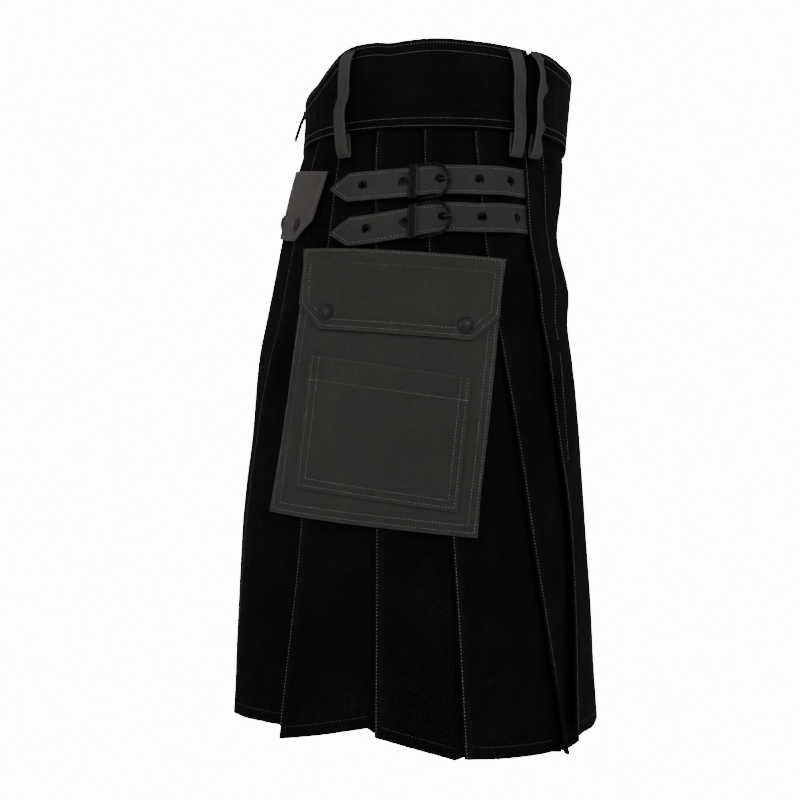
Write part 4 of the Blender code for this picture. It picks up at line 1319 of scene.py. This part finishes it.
# Cargo pocket, patch and flap of one hip; returns the flap, which carries two snaps
def make_cargo(hip, side, seed):
    bag = []
    box = box_of(CARGO, OUT_POCKET)
    lines = [lines_of(inset(box, [-20, d, d, d]), THREE_SIDES) for d in (3.5, 9.5)]
    body = Panel(CARGO, OUT_POCKET, hip, seed, lines, 0.7)
    finish(pocket_cloth(f"cargo_body_{side}_cloth", body, BODY_ROWS), CHARCOAL,
           [f"cargo_pocket_{side}"])
    body.sew_grooves(bag, 4.0)

    box = box_of(PATCH, OUT_PATCH)
    wide, tall = box[2]
    lines = [lines_of(inset(box, [0.5, d, d, d]), THREE_SIDES) for d in (3.2, 9.0)]
    lines.append([(Vector((0.5, 0.185 * tall)), Vector((wide - 0.5, 0.172 * tall)))])
    patch = Panel(PATCH, OUT_PATCH, hip, seed + 1, lines, 0.8)
    finish(pocket_cloth(f"patch_{side}_cloth", patch, SQUARE_ROWS), CHARCOAL,
           [f"patch_pocket_{side}"])
    patch.sew_grooves(bag)

    wide, tall = pocket_size(CARGO, OUT_FLAP)
    shape = [(back * wide, down * tall) for down, back, _ in FLAP_ROWS]
    low, knee = FLAP_ROWS[-1], FLAP_ROWS[3]
    outline = [shape[0], (FLAP_ROWS[0][2] * wide, 0), (knee[2] * wide, knee[0] * tall),
               (low[2] * wide, low[0] * tall), (low[1] * wide, low[0] * tall), shape[3]]
    lines = [lines_of(inset(outline, [t, d, d, d, d, d]), range(6)) for t, d in ((2.0, 3.4), (13.0, 9.0))]
    flap = Panel(CARGO, OUT_FLAP, hip, seed + 2, lines, 0.7)
    finish(pocket_cloth(f"cargo_flap_{side}_cloth", flap, FLAP_ROWS), CHARCOAL_FLAP,
           [f"cargo_flap_{side}"])
    flap.sew_grooves(bag)
    thread(f"pocket_stitches_{side}", bag, THREAD)
    return flap


def make_back_flap(hip, side, seed):
    def puff(turn, height):
        return 0.5 * noise.noise(Vector((turn / 9, height / 30, seed)))

    heights, backs, fronts = zip(*BACK_FLAP_ROWS[::-1])
    top, knee, low = heights[-1], BACK_FLAP_ROWS[3][0], heights[0]
    rows = []
    for height in sorted({*spread(top, low, 30), knee}, reverse=True):
        back, front = np.interp(height, heights, backs), np.interp(height, heights, fronts)
        row = []
        for share in fine_shares(BACK_FLAP_WIDTH, edges=(3.5,), step=5):
            turn = back + (front - back) * share
            edge = min(share * BACK_FLAP_WIDTH, (1 - share) * BACK_FLAP_WIDTH, top - height, height - low)
            out = OUT_POCKET + puff(turn, height) - 0.3 * bell(edge - 3.5, 1.1) - 0.4 * bell(edge, 0.9)
            # Rim made paler: partly rubbed dye, partly painted highlight
            row.append((skin(turn, height + back_tilt(turn), out, hip), 0.8 * bell(edge, 1.1)))
        rows.append(row)
    finish(cloth(f"back_flap_{side}_cloth", rows, TRIM, rim=0.3), WARM,
           [f"back_flap_{side}"])
    bag = []
    per = 1 / turn_for(1.0, -58, -100)    # millimetres in a degree of turn
    (h0, b0, f0), (h1, b1, f1), (h2, b2, f2) = (BACK_FLAP_ROWS[i] for i in (0, 3, 5))
    outline = [(turn * per, -height) for turn, height in
               ((b0, h0), (f0, h0), (f1, h1), (f2, h2), (b2, h2), (b1, h1))]
    for a, b in lines_of(inset(outline, [3.0] + [3.4] * 5), range(6)):
        spots = []
        for p in (a + (b - a) * k / 30 for k in range(31)):
            turn, height = p.x / per, -p.y
            spots.append((turn, height + back_tilt(turn), OUT_POCKET + puff(turn, height) - 0.15))
        sew(bag, spots, hip, width=0.24)
    thread(f"back_flap_stitches_{side}", bag, THREAD)


def make_pockets():
    cap = snap_cap()
    for (hip, side), seed in zip(SIDES, (2.0, 8.0)):
        flap = make_cargo(hip, side, seed)
        make_back_flap(hip, side, seed)
        snaps = [(f"cargo_{place}", flap.spot(across * flap.wide, down * flap.tall))
                 for place, (down, across) in zip(("back", "front"), CARGO_SNAPS)]
        snaps += [(f"back_{place}", (turn, height + back_tilt(turn), OUT_POCKET))
                  for place, turn, height in BACK_SNAPS]
        for place, spot in snaps:
            stud = placed_copies(f"stud_{place}_{side}", cap, [snap_frame(*spot, hip)])
            finish(stud, METAL_WORN, [f"snap_{place}_{side}"])
    bpy.data.objects.remove(cap, do_unlink=True)


# Studio
PAPER_GLOW, ROOM_LIGHT = 14.0, 0.55


def make_camera():
    bpy.ops.object.camera_add(location=(-1.375, 0.031, -0.2774),
                              rotation=(math.radians(90), 0, math.radians(-90)))
    camera = bpy.context.object
    camera.data.lens, camera.data.sensor_width = 63.675, 36.0
    bpy.context.scene.camera = camera


def make_studio():
    bpy.ops.object.select_all(action="DESELECT")
    bpy.ops.mesh.primitive_circle_add(vertices=96, radius=2.2, fill_type="NGON", location=(0, 0, -1.15))
    floor = bpy.context.object
    floor.name = "studio_floor"
    edit_all()
    bpy.ops.mesh.inset(thickness=1.2)
    bpy.ops.mesh.select_all(action="DESELECT")
    bpy.ops.object.mode_set(mode="OBJECT")
    for edge in floor.data.edges:
        edge.select = all(Vector(floor.data.vertices[v].co[:2]).length > 2.1 for v in edge.vertices)
    bpy.ops.object.mode_set(mode="EDIT")
    bpy.ops.mesh.select_mode(type="EDGE")
    for angle in spread(10, 90, 8):
        a = math.radians(angle)
        bpy.ops.mesh.extrude_edges_move(TRANSFORM_OT_translate={"value": (0, 0, 0.14 * math.sin(a))})
        grow = 1 + 0.06 * math.cos(a)
        bpy.ops.transform.resize(value=(grow, grow, 1))
    bpy.ops.mesh.extrude_edges_move(TRANSFORM_OT_translate={"value": (0, 0, 2.4)})
    bpy.ops.object.mode_set(mode="OBJECT")
    bpy.ops.object.transform_apply(location=True, rotation=False, scale=False)
    bpy.ops.object.shade_smooth()
    paper, tree, shader = plain_material("Pale paper", (0.9, 0.9, 0.9), 0.95, 0.1)
    glow = node(tree, "ShaderNodeEmission", [("Color", (1, 1, 1, 1)), ("Strength", PAPER_GLOW)])
    seen = node(tree, "ShaderNodeLightPath").outputs["Is Camera Ray"]
    both = node(tree, "ShaderNodeMixShader", [(0, seen), (1, shader.outputs[0]),
                                              (2, glow.outputs[0])])
    tree.links.new(both.outputs[0], tree.nodes["Material Output"].inputs["Surface"])
    floor.data.materials.append(paper)

    world = bpy.data.worlds.new("Soft studio")
    world.use_nodes = True
    sky = world.node_tree.nodes["Background"].inputs
    sky["Color"].default_value, sky["Strength"].default_value = (1, 1, 1, 1), ROOM_LIGHT
    bpy.context.scene.world = world
    for place, lean, heading, size, power in (((-1.6, -0.9, 0.9), 62, -62, 0.9, 8.5),
                                              ((-1.2, 1.5, 0.5), 72, -140, 1.0, 5.0)):
        bpy.ops.object.light_add(type="AREA", location=place,
                                 rotation=(math.radians(lean), 0, math.radians(heading)))
        lamp = bpy.context.object.data
        lamp.shape, lamp.size, lamp.energy = "DISK", size, power


make_camera()
make_skirt()
stitch_skirt()
make_over_apron()
make_under_apron()
make_waistbands()
make_loops()
make_straps()
make_pockets()
make_studio()
